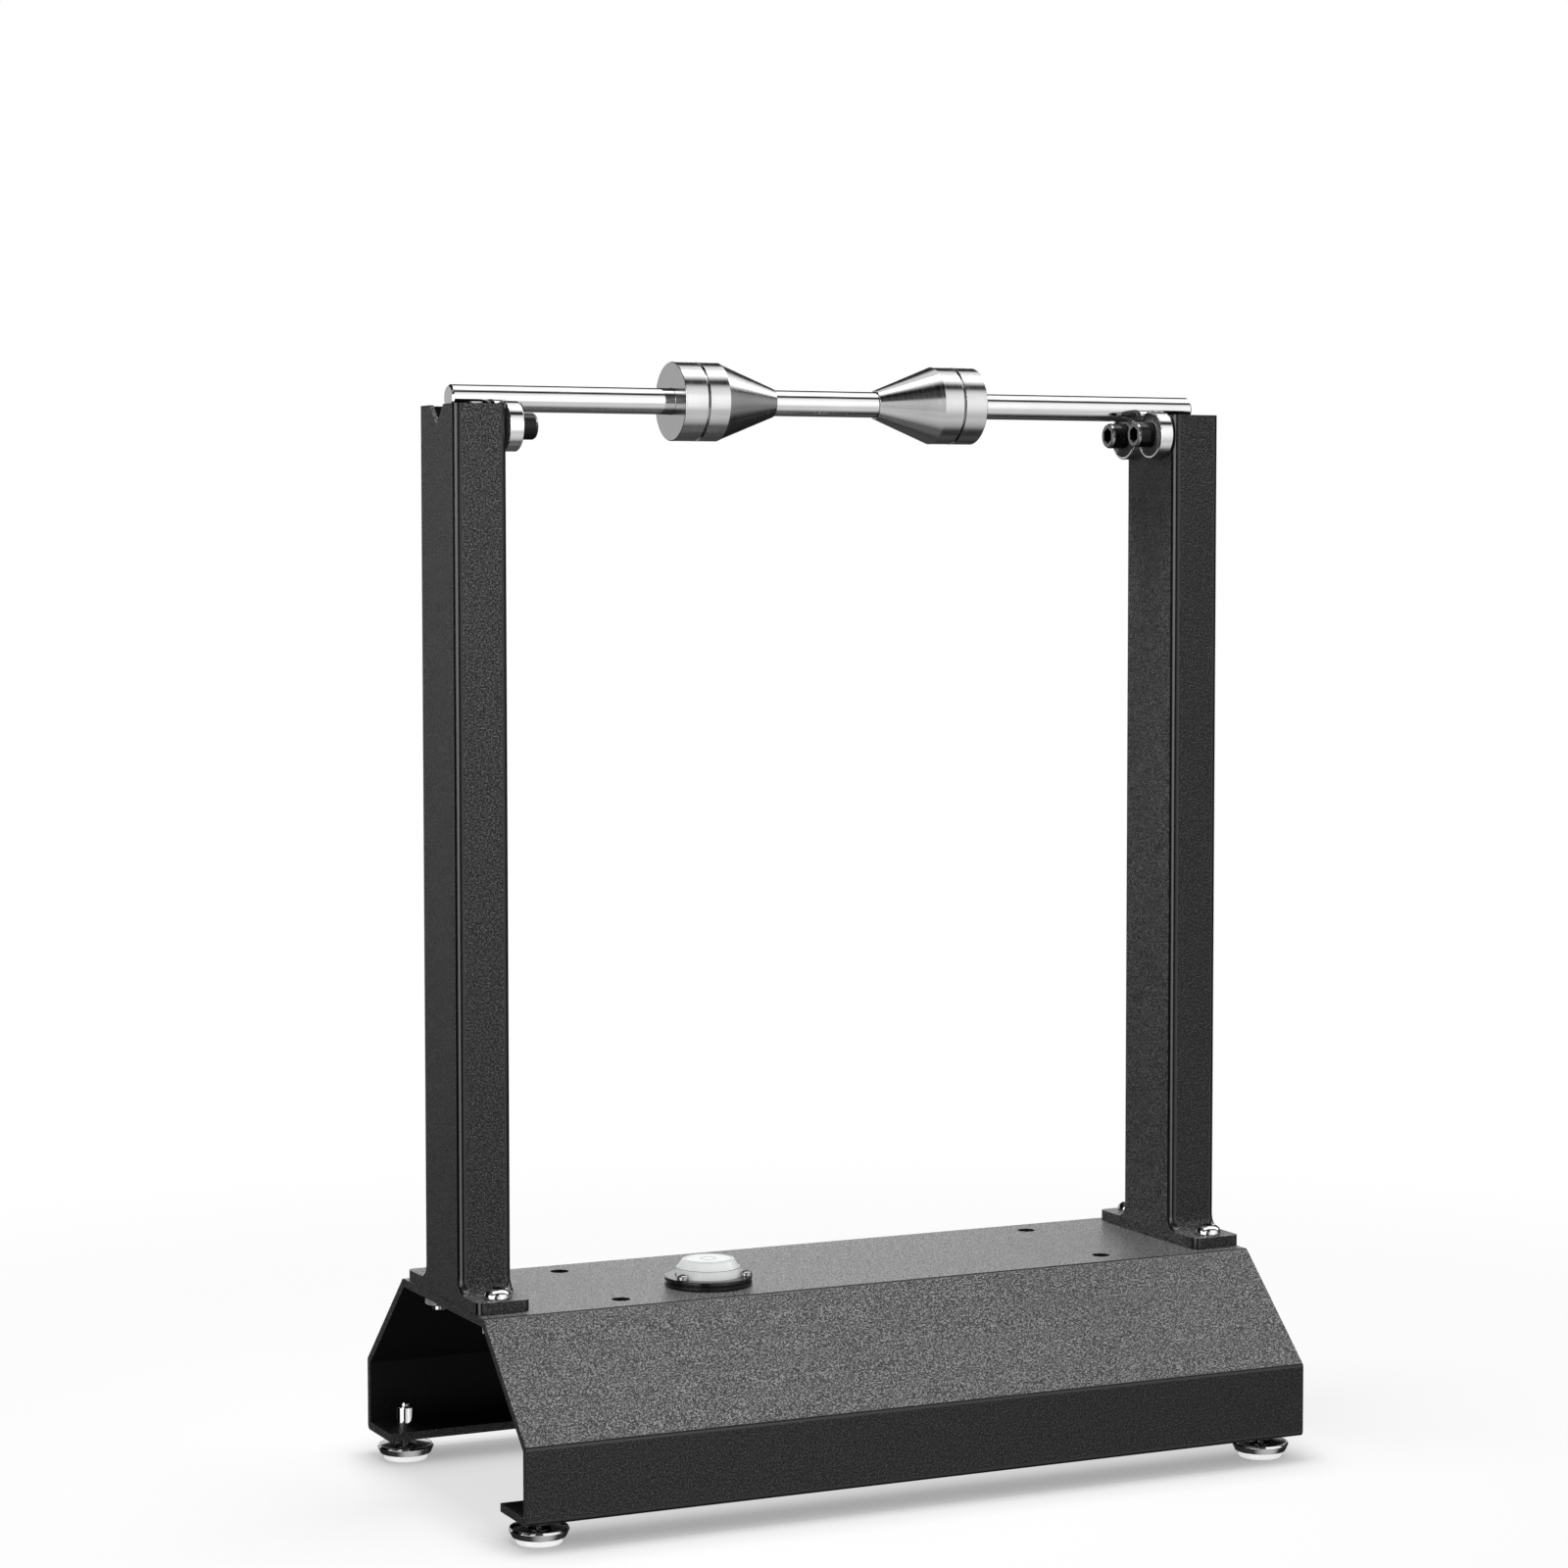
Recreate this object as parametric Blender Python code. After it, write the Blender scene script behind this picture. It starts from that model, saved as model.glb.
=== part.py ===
"""Bench stand for balancing motorcycle wheels.

A folded steel base stands on four levelling feet and carries two hollow posts. Each post
holds a pair of ball bearings, and a shaft with two locking cones rolls on the four of them.
Metres, +Z up. The floor is z = 0, the shaft lies along X, and the origin is under the middle.
"""

import math

import bmesh
import bpy
from mathutils import Matrix, Vector

# Fits: between pieces that touch, and how far a cutter runs past the face it opens
GAP = 0.0003
OVERRUN = 0.001

# Facets round a full turn, and steps in a small round stretch
LARGE_TURN = 32
RING_TURN = 24
FOOT_TURN = 18
SCREW_TURN = 14
NUT_TURN = 12
HOLE_TURN = 12
BEND_STEPS = 3
CORNER_STEPS = 3
DOME_STEPS = 2
SMOOTH_UNDER = math.radians(35)
CHAMFER_ANGLE = math.radians(30)

# Base: one sheet folded into a channel that is open at both ends
BASE_LENGTH = 0.413
BASE_WIDTH = 0.216
BASE_HEIGHT = 0.0852
SHEET = 0.004
BEND_INSIDE = 0.0008
SIDE_WALL_HEIGHT = 0.0357
FLANGE_WIDTH = 0.0327
TOP_EDGE_MARGIN = 0.007
SPARE_POST_INSET = 0.0625

# Posts: rectangular tube welded to a foot plate of the same width
POST_WIDTH = 0.0263
POST_HEIGHT = 0.4215
POST_WALL = 0.002
POST_INNER_CORNER = 0.0005
PLATE_THICKNESS = 0.0055
PLATE_CORNER = 0.0025
PLATE_END_MARGIN = 0.0027
WELD_RADIUS = 0.0075
NOTCH_CLEARANCE = 0.0025

# Bolts through foot plate and base, with their nuts
BOLT_DIAMETER = 0.008
BOLT_HOLE_PLAY = 0.0005
BOLT_HEAD_DIAMETER = 0.0132
BOLT_HEAD_HEIGHT = 0.0045
BOLT_HEAD_RIM = 0.0009
BOLT_HEAD_FLAT = 0.0076
BOLT_SOCKET_WIDTH = 0.005
BOLT_SOCKET_DEPTH = 0.0026
BOLT_TO_WELD = 0.0006
BOLT_POINT_DIAMETER = 0.006
BOLT_POINT_LENGTH = 0.0023
NUT_WIDTH = 0.013
NUT_HEIGHT = 0.0065
NUT_FACE_SHARE = 0.95
POINT_CHAMFER = 0.0006

# Ball bearings
BEARING_DIAMETER = 0.024
BEARING_WIDTH = 0.007
BEARING_PAIR_GAP = 0.0022
BEARING_BELOW_TOP = 0.01
RING_RIM = 0.0013
RING_CHAMFER = 0.0004
INNER_RING_WALL = 0.0019
RACE_DEPTH = 0.0004
SEAL_RECESS = 0.0004
SPACER_THICKNESS = 0.0006
SPACER_WALL = 0.0014

# Screws that carry the bearings, with nuts inside the posts
BEARING_SCREW_DIAMETER = 0.0076
BEARING_SCREW_TIP = 0.002
CAP_DIAMETER = 0.013
CAP_LENGTH = 0.009
CAP_CHAMFER = 0.0011
CAP_SOCKET_WIDTH = 0.0064
CAP_SOCKET_DEPTH = 0.004
NUT_TO_SIDE_WALL = 0.00145

# Shaft
SHAFT_DIAMETER = 0.0127
SHAFT_CHAMFER = 0.001
SHAFT_END_INSET = 0.0055
SHAFT_SHIFT = 0.0004

# Cones and their locking collars
CONE_DIAMETER = 0.0381
CONE_LAND = 0.0108
CONE_TAPER = 0.0302
CONE_TIP_WALL = 0.00065
COLLAR_LENGTH = 0.0122
CONE_CHAMFER = 0.0004
LEFT_TIP_FROM_MIDDLE = 0.0335
RIGHT_TIP_FROM_MIDDLE = 0.0225
GRUB_DIAMETER = 0.005
GRUB_RECESS = 0.002
GRUB_SOCKET_WIDTH = 0.0025
GRUB_SOCKET_DEPTH = 0.003

# Levelling feet, from the floor up
PAD_DIAMETER = 0.0215
PAD_HEIGHT = 0.00295
PAD_CHAMFER = 0.0005
PAD_SPIGOT_DIAMETER = 0.014
PAD_SPIGOT_HEIGHT = 0.0015
DISC_DIAMETER = 0.028
DISC_LOWER_DIAMETER = 0.025
DISC_HEIGHT = 0.0044
DISC_CHAMFER = 0.0004
HEX_WIDTH = 0.009
HEX_HEIGHT = 0.0016
FOOT_SPARE_TRAVEL = 0.00175
STUD_DIAMETER = 0.006
STUD_ABOVE_INSERT = 0.0019
FOOT_END_INSET = 0.0133
INSERT_WALL = 0.0009
INSERT_HEAD_WALL = 0.0018
INSERT_HEAD_THICKNESS = 0.001
INSERT_ABOVE_FLANGE = 0.01

# Round level on the base
LEVEL_FROM_SPARE_HOLE = 0.0522
LEVEL_EDGE_MARGIN = 0.0104
LEVEL_DIAMETER = 0.0424
LEVEL_RING_HEIGHT = 0.0044
LEVEL_RING_GROOVE = 0.0008
LEVEL_RING_EDGE = 0.0009
VIAL_DIAMETER = 0.031
VIAL_SIDE_ABOVE_RING = 0.0042
VIAL_TAPER_HEIGHT = 0.0039
VIAL_SHOULDER = 0.0005
VIAL_TOP_DIAMETER = 0.0248
VIAL_WALL = 0.0022
VIAL_CEILING_RISE = 0.0006
VIAL_LIP_WIDTH = 0.0014
VIAL_LIP_HEIGHT = 0.0012
PLUG_HEIGHT = 0.002
LEVEL_SCREW_CIRCLE_RADIUS = 0.0186
LEVEL_SCREW_COUNT = 3
LEVEL_SCREW_FIRST_ANGLE = math.radians(85)
LEVEL_SCREW_DIAMETER = 0.0028
LEVEL_SCREW_HEAD_DIAMETER = 0.0058
LEVEL_SCREW_HEAD_HEIGHT = 0.0024
LEVEL_SCREW_TIP = 0.001

# Worked out across the width of the stand
bearing_y = (BEARING_DIAMETER + BEARING_PAIR_GAP) / 2
nut_corner_radius = NUT_WIDTH / math.sqrt(3)
post_half_depth = bearing_y + nut_corner_radius + NUT_TO_SIDE_WALL + POST_WALL
bolt_y = post_half_depth + WELD_RADIUS + BOLT_TO_WELD + BOLT_HEAD_DIAMETER / 2
plate_half_length = bolt_y + BOLT_HEAD_DIAMETER / 2 + PLATE_END_MARGIN
base_top_half_width = plate_half_length + TOP_EDGE_MARGIN
foot_y = BASE_WIDTH / 2 - (FLANGE_WIDTH + SHEET) / 2
level_y = LEVEL_DIAMETER / 2 + LEVEL_EDGE_MARGIN - base_top_half_width

# Worked out along the stand
post_x = (BASE_LENGTH - POST_WIDTH) / 2
post_inner_face_x = BASE_LENGTH / 2 - POST_WIDTH
foot_x = BASE_LENGTH / 2 - FOOT_END_INSET
spare_hole_x = post_x - SPARE_POST_INSET
level_x = LEVEL_FROM_SPARE_HOLE - spare_hole_x
shaft_length = BASE_LENGTH - 2 * SHAFT_END_INSET
cone_set_length = COLLAR_LENGTH + GAP + CONE_LAND + CONE_TAPER

# Worked out from the floor up
disc_bottom_z = PAD_HEIGHT + GAP
disc_top_z = disc_bottom_z + DISC_HEIGHT
insert_bottom_z = disc_top_z + HEX_HEIGHT + FOOT_SPARE_TRAVEL
base_bottom_z = insert_bottom_z + INSERT_HEAD_THICKNESS + GAP
insert_top_z = base_bottom_z + SHEET + INSERT_ABOVE_FLANGE
base_top_z = base_bottom_z + BASE_HEIGHT
post_bottom_z = base_top_z + GAP
post_top_z = post_bottom_z + POST_HEIGHT
bearing_z = post_top_z - BEARING_BELOW_TOP
shaft_to_bearing = (SHAFT_DIAMETER + BEARING_DIAMETER) / 2 + GAP
shaft_z = bearing_z + math.sqrt(shaft_to_bearing**2 - bearing_y**2)
notch_apex_z = shaft_z - (SHAFT_DIAMETER / 2 + NOTCH_CLEARANCE) * math.sqrt(2)

# Worked out along a bearing screw, from the post's inner face
ring_start = GAP + SPACER_THICKNESS + GAP
ring_end = ring_start + BEARING_WIDTH
race_middle = (ring_start + ring_end) / 2
cap_start = ring_end + GAP
bearing_nut_start = -(POST_WALL + GAP)
bearing_screw_end = bearing_nut_start - NUT_HEIGHT - BEARING_SCREW_TIP

# Radii that pieces share
bolt_hole_radius = BOLT_DIAMETER / 2 + BOLT_HOLE_PLAY
bearing_hole_radius = BEARING_SCREW_DIAMETER / 2 + GAP
inner_ring_radius = bearing_hole_radius + INNER_RING_WALL
outer_ring_bore_radius = BEARING_DIAMETER / 2 - RING_RIM
insert_bore_radius = STUD_DIAMETER / 2 + GAP
insert_radius = insert_bore_radius + INSERT_WALL
cone_bore_radius = SHAFT_DIAMETER / 2 + GAP
level_screw_hole_radius = LEVEL_SCREW_DIAMETER / 2 + GAP


def clear_scene():
    for obj in list(bpy.data.objects):
        bpy.data.objects.remove(obj)


def metal(name, colour, roughness, metallic):
    """A plain Principled material."""
    material = bpy.data.materials.new(name)
    material.use_nodes = True
    shader = material.node_tree.nodes["Principled BSDF"]
    shader.inputs["Base Color"].default_value = (*colour, 1)
    shader.inputs["Roughness"].default_value = roughness
    shader.inputs["Metallic"].default_value = metallic
    material.diffuse_color = (*colour, 1)
    return material


def finished(bm, name):
    """Turns an edited mesh into one whose faces point out and whose round sides are smooth."""
    bmesh.ops.recalc_face_normals(bm, faces=bm.faces)
    mesh = bpy.data.meshes.new(name)
    bm.to_mesh(mesh)
    bm.free()
    mesh.shade_smooth()
    mesh.set_sharp_from_angle(angle=SMOOTH_UNDER)
    return mesh


def arc(centre, radius, start, end, steps):
    """Points on a circle about centre from angle start to angle end, both included."""
    turns = [start + (end - start) * step / steps for step in range(steps + 1)]
    return [
        (centre[0] + radius * math.cos(turn), centre[1] + radius * math.sin(turn))
        for turn in turns
    ]


def turned(name, profile, segments):
    """Spins an outline of (radius, height) points about Z."""
    bm = bmesh.new()
    points = [bm.verts.new((radius, 0, height)) for radius, height in profile]
    edges = [
        bm.edges.new((a, b))
        for a, b in zip(points, points[1:] + points[:1])
        if a.co.x > 0 or b.co.x > 0
    ]
    bmesh.ops.spin(
        bm,
        geom=points + edges,
        cent=(0, 0, 0),
        axis=(0, 0, 1),
        angle=math.tau,
        steps=segments,
        use_merge=True,
    )
    bmesh.ops.remove_doubles(bm, verts=bm.verts, dist=GAP / 100)
    return finished(bm, name)


def prism(name, outline, start, end, along="Z"):
    """Extrudes an outline from start to end: (x, y) points along Z, or (y, z) points along X."""
    bm = bmesh.new()
    turn = {"Z": lambda u, v, w: (u, v, w), "X": lambda u, v, w: (w, u, v)}[along]
    face = bm.faces.new([bm.verts.new(turn(u, v, start)) for u, v in outline])
    extruded = bmesh.ops.extrude_face_region(bm, geom=[face])
    moved = [item for item in extruded["geom"] if isinstance(item, bmesh.types.BMVert)]
    bmesh.ops.translate(bm, verts=moved, vec=turn(0, 0, end - start))
    return finished(bm, name)


def lofted(name, rings):
    """Joins rings of points, each with as many as the next, into one closed skin."""
    bm = bmesh.new()
    loops = [[bm.verts.new(point) for point in ring] for ring in rings]
    for below, above in zip(loops, loops[1:]):
        for a, b, c, d in zip(below, below[1:] + below[:1], above[1:] + above[:1], above):
            bm.faces.new((a, b, c, d))
    bm.faces.new(loops[0])
    bm.faces.new(loops[-1])
    return finished(bm, name)


def combined(body, tool, operation):
    """Runs one exact Boolean on two meshes and returns the result as a new mesh."""
    objects = [bpy.data.objects.new(mesh.name, mesh) for mesh in (body, tool)]
    for obj in objects:
        bpy.context.scene.collection.objects.link(obj)
    modifier = objects[0].modifiers.new("Boolean", "BOOLEAN")
    modifier.operation = operation
    modifier.object = objects[1]
    evaluated = objects[0].evaluated_get(bpy.context.evaluated_depsgraph_get())
    result = bpy.data.meshes.new_from_object(evaluated)
    for obj in objects:
        bpy.data.objects.remove(obj)
    result.shade_smooth()
    result.set_sharp_from_angle(angle=SMOOTH_UNDER)
    return result


def add(name, mesh, material, parent=None, location=(0, 0, 0), rotation=(0, 0, 0)):
    """Places one named piece. Pieces that repeat share their mesh."""
    if not mesh.materials:
        mesh.materials.append(material)
    obj = bpy.data.objects.new(name, mesh)
    bpy.context.scene.collection.objects.link(obj)
    obj.parent = parent
    obj.location = location
    obj.rotation_euler = rotation
    return obj


def axis_empty(name, location, rotation=(0, 0, 0)):
    """An empty on the axis that a group of pieces shares."""
    empty = bpy.data.objects.new(name, None)
    bpy.context.scene.collection.objects.link(empty)
    empty.location = location
    empty.rotation_euler = rotation
    return empty


def circle(radius, segments, centre=(0, 0)):
    return arc(centre, radius, 0, math.tau, segments)[:-1]


def hexagon(width):
    """A hexagon with two corners on the first axis."""
    return circle(width / math.sqrt(3), 6)


def rounded_rectangle(width, depth, radius):
    """Runs anticlockwise from the corner at +X +Y."""
    points = []
    quarter = math.tau / 4
    for number, (side_x, side_y) in enumerate(((1, 1), (-1, 1), (-1, -1), (1, -1))):
        centre = (side_x * (width / 2 - radius), side_y * (depth / 2 - radius))
        start = number * quarter
        points += arc(centre, radius, start, start + quarter, CORNER_STEPS)
    return points


def folded_sheet(corners):
    """The outline of a sheet folded right at each corner of its outer face."""
    corners = [Vector(corner) for corner in corners]
    sides = [(b - a).normalized() for a, b in zip(corners, corners[1:])]
    inward = [Vector((side.y, -side.x)) for side in sides]
    outside = [corners[0]]
    inside = [corners[0] + SHEET * inward[0]]
    for corner, before, after in zip(corners[1:-1], inward, inward[1:]):
        centre = corner + (BEND_INSIDE + SHEET) * (before + after) / (1 + before.dot(after))
        start = math.atan2(-before.y, -before.x)
        end = start - before.angle(after)
        outside += arc(centre, BEND_INSIDE + SHEET, start, end, BEND_STEPS)
        inside += arc(centre, BEND_INSIDE, start, end, BEND_STEPS)
    outside.append(corners[-1])
    inside.append(corners[-1] + SHEET * inward[-1])
    return outside + inside[::-1]


def hole_cutter(radius, bottom, top, centre):
    return prism("cutter", circle(radius, HOLE_TURN, centre), bottom, top)


def level_screw_places():
    """Places of the level's screws about its own axis."""
    turns = [
        LEVEL_SCREW_FIRST_ANGLE + math.tau * number / LEVEL_SCREW_COUNT
        for number in range(LEVEL_SCREW_COUNT)
    ]
    return [
        (LEVEL_SCREW_CIRCLE_RADIUS * math.cos(turn), LEVEL_SCREW_CIRCLE_RADIUS * math.sin(turn))
        for turn in turns
    ]


def base_channel():
    half_width = BASE_WIDTH / 2
    knee_z = base_bottom_z + SIDE_WALL_HEIGHT
    left = [
        (FLANGE_WIDTH - half_width, base_bottom_z),
        (-half_width, base_bottom_z),
        (-half_width, knee_z),
        (-base_top_half_width, base_top_z),
    ]
    right = [(-y, z) for y, z in reversed(left)]
    outline = folded_sheet(left + right)
    channel = prism("base_channel", outline, -BASE_LENGTH / 2, BASE_LENGTH / 2, "X")
    top_hole = (base_top_z - SHEET - OVERRUN, base_top_z + OVERRUN)
    flange_hole = (base_bottom_z - OVERRUN, base_bottom_z + SHEET + OVERRUN)
    cutters = []
    for side in (-1, 1):
        for end in (-1, 1):
            for x in (post_x, spare_hole_x):
                place = (end * x, side * bolt_y)
                cutters.append(hole_cutter(bolt_hole_radius, *top_hole, place))
            place = (end * foot_x, side * foot_y)
            cutters.append(hole_cutter(insert_radius + GAP, *flange_hole, place))
    for x, y in level_screw_places():
        place = (x + level_x, y + level_y)
        cutters.append(hole_cutter(level_screw_hole_radius, *top_hole, place))
    for cutter in cutters:
        channel = combined(channel, cutter, "DIFFERENCE")
    return channel


def post_tube():
    """The tube, its two narrow ends flaring down to the foot plate in a concave fillet."""
    corner = POST_INNER_CORNER + POST_WALL
    quarter = math.tau / 4
    centre = (WELD_RADIUS, PLATE_THICKNESS + WELD_RADIUS)
    flare = arc(centre, WELD_RADIUS, -quarter, -2 * quarter, CORNER_STEPS)
    levels = [(flare[0][0], PLATE_THICKNESS / 2), *flare, (flare[-1][0], POST_HEIGHT)]
    rings = []
    for reach, height in levels:
        outline = rounded_rectangle(POST_WIDTH, 2 * (post_half_depth + reach), corner)
        rings.append([(x, y, height) for x, y in outline])
    return lofted("tube", rings)


def post():
    """Post and foot plate about the post's middle, with the bearing wall on the -X side."""
    bore_width = POST_WIDTH - 2 * POST_WALL
    bore_depth = 2 * (post_half_depth - POST_WALL)
    bore_outline = rounded_rectangle(bore_width, bore_depth, POST_INNER_CORNER)
    plate_outline = rounded_rectangle(POST_WIDTH, 2 * plate_half_length, PLATE_CORNER)
    body = prism("post", plate_outline, 0, PLATE_THICKNESS)
    body = combined(body, post_tube(), "UNION")
    bore = prism("bore", bore_outline, PLATE_THICKNESS, POST_HEIGHT + OVERRUN)
    body = combined(body, bore, "DIFFERENCE")
    apex = notch_apex_z - post_bottom_z
    reach = POST_HEIGHT + OVERRUN - apex
    notch_outline = [(0, apex), (reach, apex + reach), (-reach, apex + reach)]
    notch_half = POST_WIDTH / 2 + OVERRUN
    notch = prism("notch", notch_outline, -notch_half, notch_half, "X")
    body = combined(body, notch, "DIFFERENCE")
    wall = (-POST_WIDTH / 2 - OVERRUN, -POST_WIDTH / 2 + POST_WALL + OVERRUN)
    for side in (-1, 1):
        centre = (side * bearing_y, bearing_z - post_bottom_z)
        screw_hole = prism("hole", circle(bearing_hole_radius, HOLE_TURN, centre), *wall, "X")
        body = combined(body, screw_hole, "DIFFERENCE")
        place = (0, side * bolt_y)
        bolt_hole = hole_cutter(bolt_hole_radius, -OVERRUN, PLATE_THICKNESS + OVERRUN, place)
        body = combined(body, bolt_hole, "DIFFERENCE")
    return body


def hex_nut(bore_radius):
    """A nut from z = 0 down, its corners chamfered."""
    face_radius = NUT_WIDTH / 2 * NUT_FACE_SHARE
    waist_radius = nut_corner_radius + OVERRUN
    fall = (waist_radius - face_radius) * math.tan(CHAMFER_ANGLE)
    profile = [
        (bore_radius, -NUT_HEIGHT),
        (face_radius, -NUT_HEIGHT),
        (waist_radius, fall - NUT_HEIGHT),
        (waist_radius, -fall),
        (face_radius, 0),
        (bore_radius, 0),
    ]
    barrel = turned("nut", profile, NUT_TURN)
    sides = prism("sides", hexagon(NUT_WIDTH), -NUT_HEIGHT - OVERRUN, OVERRUN)
    return combined(barrel, sides, "INTERSECT")


def socketed(mesh, width, depth, top):
    """Cuts a hexagon socket down from a head's top."""
    socket = prism("socket", hexagon(width), top - depth, top + OVERRUN)
    return combined(mesh, socket, "DIFFERENCE")


def post_bolt():
    """Button head screw with its head's underside at z = 0 and a plain point at its end."""
    grip = GAP + PLATE_THICKNESS + GAP + SHEET + GAP + NUT_HEIGHT
    head_radius = BOLT_HEAD_DIAMETER / 2
    flat_radius = BOLT_HEAD_FLAT / 2
    rise = BOLT_HEAD_HEIGHT - BOLT_HEAD_RIM
    quarter = math.tau / 4
    dome = [
        (flat_radius + (head_radius - flat_radius) * across, BOLT_HEAD_RIM + rise * up)
        for across, up in arc((0, 0), 1, 0, quarter, DOME_STEPS)
    ]
    profile = [
        (0, -grip - BOLT_POINT_LENGTH),
        (BOLT_POINT_DIAMETER / 2, -grip - BOLT_POINT_LENGTH),
        (BOLT_POINT_DIAMETER / 2, -grip),
        (BOLT_DIAMETER / 2, -grip),
        (BOLT_DIAMETER / 2, 0),
        (head_radius, 0),
        *dome,
        (0, BOLT_HEAD_HEIGHT),
    ]
    mesh = turned("post_bolt", profile, SCREW_TURN)
    return socketed(mesh, BOLT_SOCKET_WIDTH, BOLT_SOCKET_DEPTH, BOLT_HEAD_HEIGHT)


def bearing_screw():
    """Socket head cap screw. z = 0 is the post's inner face, and the head is on the +Z side."""
    radius = BEARING_SCREW_DIAMETER / 2
    cap_end = cap_start + CAP_LENGTH
    profile = [
        (0, bearing_screw_end),
        (radius - POINT_CHAMFER, bearing_screw_end),
        (radius, bearing_screw_end + POINT_CHAMFER),
        (radius, cap_start),
        (CAP_DIAMETER / 2, cap_start),
        (CAP_DIAMETER / 2, cap_end - CAP_CHAMFER),
        (CAP_DIAMETER / 2 - CAP_CHAMFER, cap_end),
        (0, cap_end),
    ]
    mesh = turned("bearing_screw", profile, SCREW_TURN)
    return socketed(mesh, CAP_SOCKET_WIDTH, CAP_SOCKET_DEPTH, cap_end)


def bearing_outer_ring():
    radius = BEARING_DIAMETER / 2
    profile = [
        (outer_ring_bore_radius, ring_start),
        (radius - RING_CHAMFER, ring_start),
        (radius, ring_start + RING_CHAMFER),
        (radius, ring_end - RING_CHAMFER),
        (radius - RING_CHAMFER, ring_end),
        (outer_ring_bore_radius, ring_end),
        (outer_ring_bore_radius + RACE_DEPTH, race_middle),
    ]
    return turned("bearing_outer_ring", profile, RING_TURN)


def bearing_inner_ring():
    profile = [
        (bearing_hole_radius, ring_start),
        (inner_ring_radius, ring_start),
        (inner_ring_radius - RACE_DEPTH, race_middle),
        (inner_ring_radius, ring_end),
        (bearing_hole_radius, ring_end),
    ]
    return turned("bearing_inner_ring", profile, SCREW_TURN)


def bearing_ball_pack():
    """Balls, cage and the seals over them, as the one closed ring that they make."""
    inner = inner_ring_radius + GAP
    outer = outer_ring_bore_radius - GAP
    profile = [
        (inner, ring_start + SEAL_RECESS),
        (outer, ring_start + SEAL_RECESS),
        (outer + RACE_DEPTH, race_middle),
        (outer, ring_end - SEAL_RECESS),
        (inner, ring_end - SEAL_RECESS),
        (inner - RACE_DEPTH, race_middle),
    ]
    return turned("bearing_ball_pack", profile, RING_TURN)


def bearing_spacer():
    outer = bearing_hole_radius + SPACER_WALL
    profile = [
        (bearing_hole_radius, GAP),
        (outer, GAP),
        (outer, GAP + SPACER_THICKNESS),
        (bearing_hole_radius, GAP + SPACER_THICKNESS),
    ]
    return turned("bearing_spacer", profile, SCREW_TURN)


def shaft():
    radius = SHAFT_DIAMETER / 2
    half = shaft_length / 2
    profile = [
        (0, -half),
        (radius - SHAFT_CHAMFER, -half),
        (radius, -half + SHAFT_CHAMFER),
        (radius, half - SHAFT_CHAMFER),
        (radius - SHAFT_CHAMFER, half),
        (0, half),
    ]
    return turned("shaft", profile, LARGE_TURN)


def cone():
    """A cone about Z with its tip up. z = 0 is the outer face of the collar behind it."""
    radius = CONE_DIAMETER / 2
    start = COLLAR_LENGTH + GAP
    land_end = start + CONE_LAND
    profile = [
        (cone_bore_radius, start),
        (radius - CONE_CHAMFER, start),
        (radius, start + CONE_CHAMFER),
        (radius, land_end),
        (cone_bore_radius + CONE_TIP_WALL, cone_set_length),
        (cone_bore_radius, cone_set_length),
    ]
    return turned("cone", profile, LARGE_TURN)


def collar():
    """The collar behind a cone, with the hole of its grub screw on the +Y side."""
    radius = CONE_DIAMETER / 2
    profile = [
        (cone_bore_radius, 0),
        (radius - CONE_CHAMFER, 0),
        (radius, CONE_CHAMFER),
        (radius, COLLAR_LENGTH - CONE_CHAMFER),
        (radius - CONE_CHAMFER, COLLAR_LENGTH),
        (cone_bore_radius, COLLAR_LENGTH),
    ]
    mesh = turned("collar", profile, LARGE_TURN)
    hole = prism("hole", circle(GRUB_DIAMETER / 2 + GAP, HOLE_TURN), 0, radius + OVERRUN)
    hole.transform(Matrix.Rotation(-math.tau / 4, 4, "X"))
    hole.transform(Matrix.Translation((0, 0, COLLAR_LENGTH / 2)))
    return combined(mesh, hole, "DIFFERENCE")


def grub_screw():
    """Headless screw from the shaft's surface out to just under the collar's, along Z."""
    radius = GRUB_DIAMETER / 2
    start = SHAFT_DIAMETER / 2 + GAP
    end = CONE_DIAMETER / 2 - GRUB_RECESS
    profile = [
        (0, start),
        (radius - POINT_CHAMFER, start),
        (radius, start + POINT_CHAMFER),
        (radius, end),
        (0, end),
    ]
    mesh = turned("grub_screw", profile, SCREW_TURN)
    return socketed(mesh, GRUB_SOCKET_WIDTH, GRUB_SOCKET_DEPTH, end)


def foot_pad():
    """Nylon pad with a spigot that seats in the foot's underside."""
    radius = PAD_DIAMETER / 2
    spigot = PAD_SPIGOT_DIAMETER / 2
    profile = [
        (0, 0),
        (radius - PAD_CHAMFER, 0),
        (radius, PAD_CHAMFER),
        (radius, PAD_HEIGHT),
        (spigot, PAD_HEIGHT),
        (spigot, PAD_HEIGHT + PAD_SPIGOT_HEIGHT),
        (0, PAD_HEIGHT + PAD_SPIGOT_HEIGHT),
    ]
    return turned("foot_pad", profile, FOOT_TURN)


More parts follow.
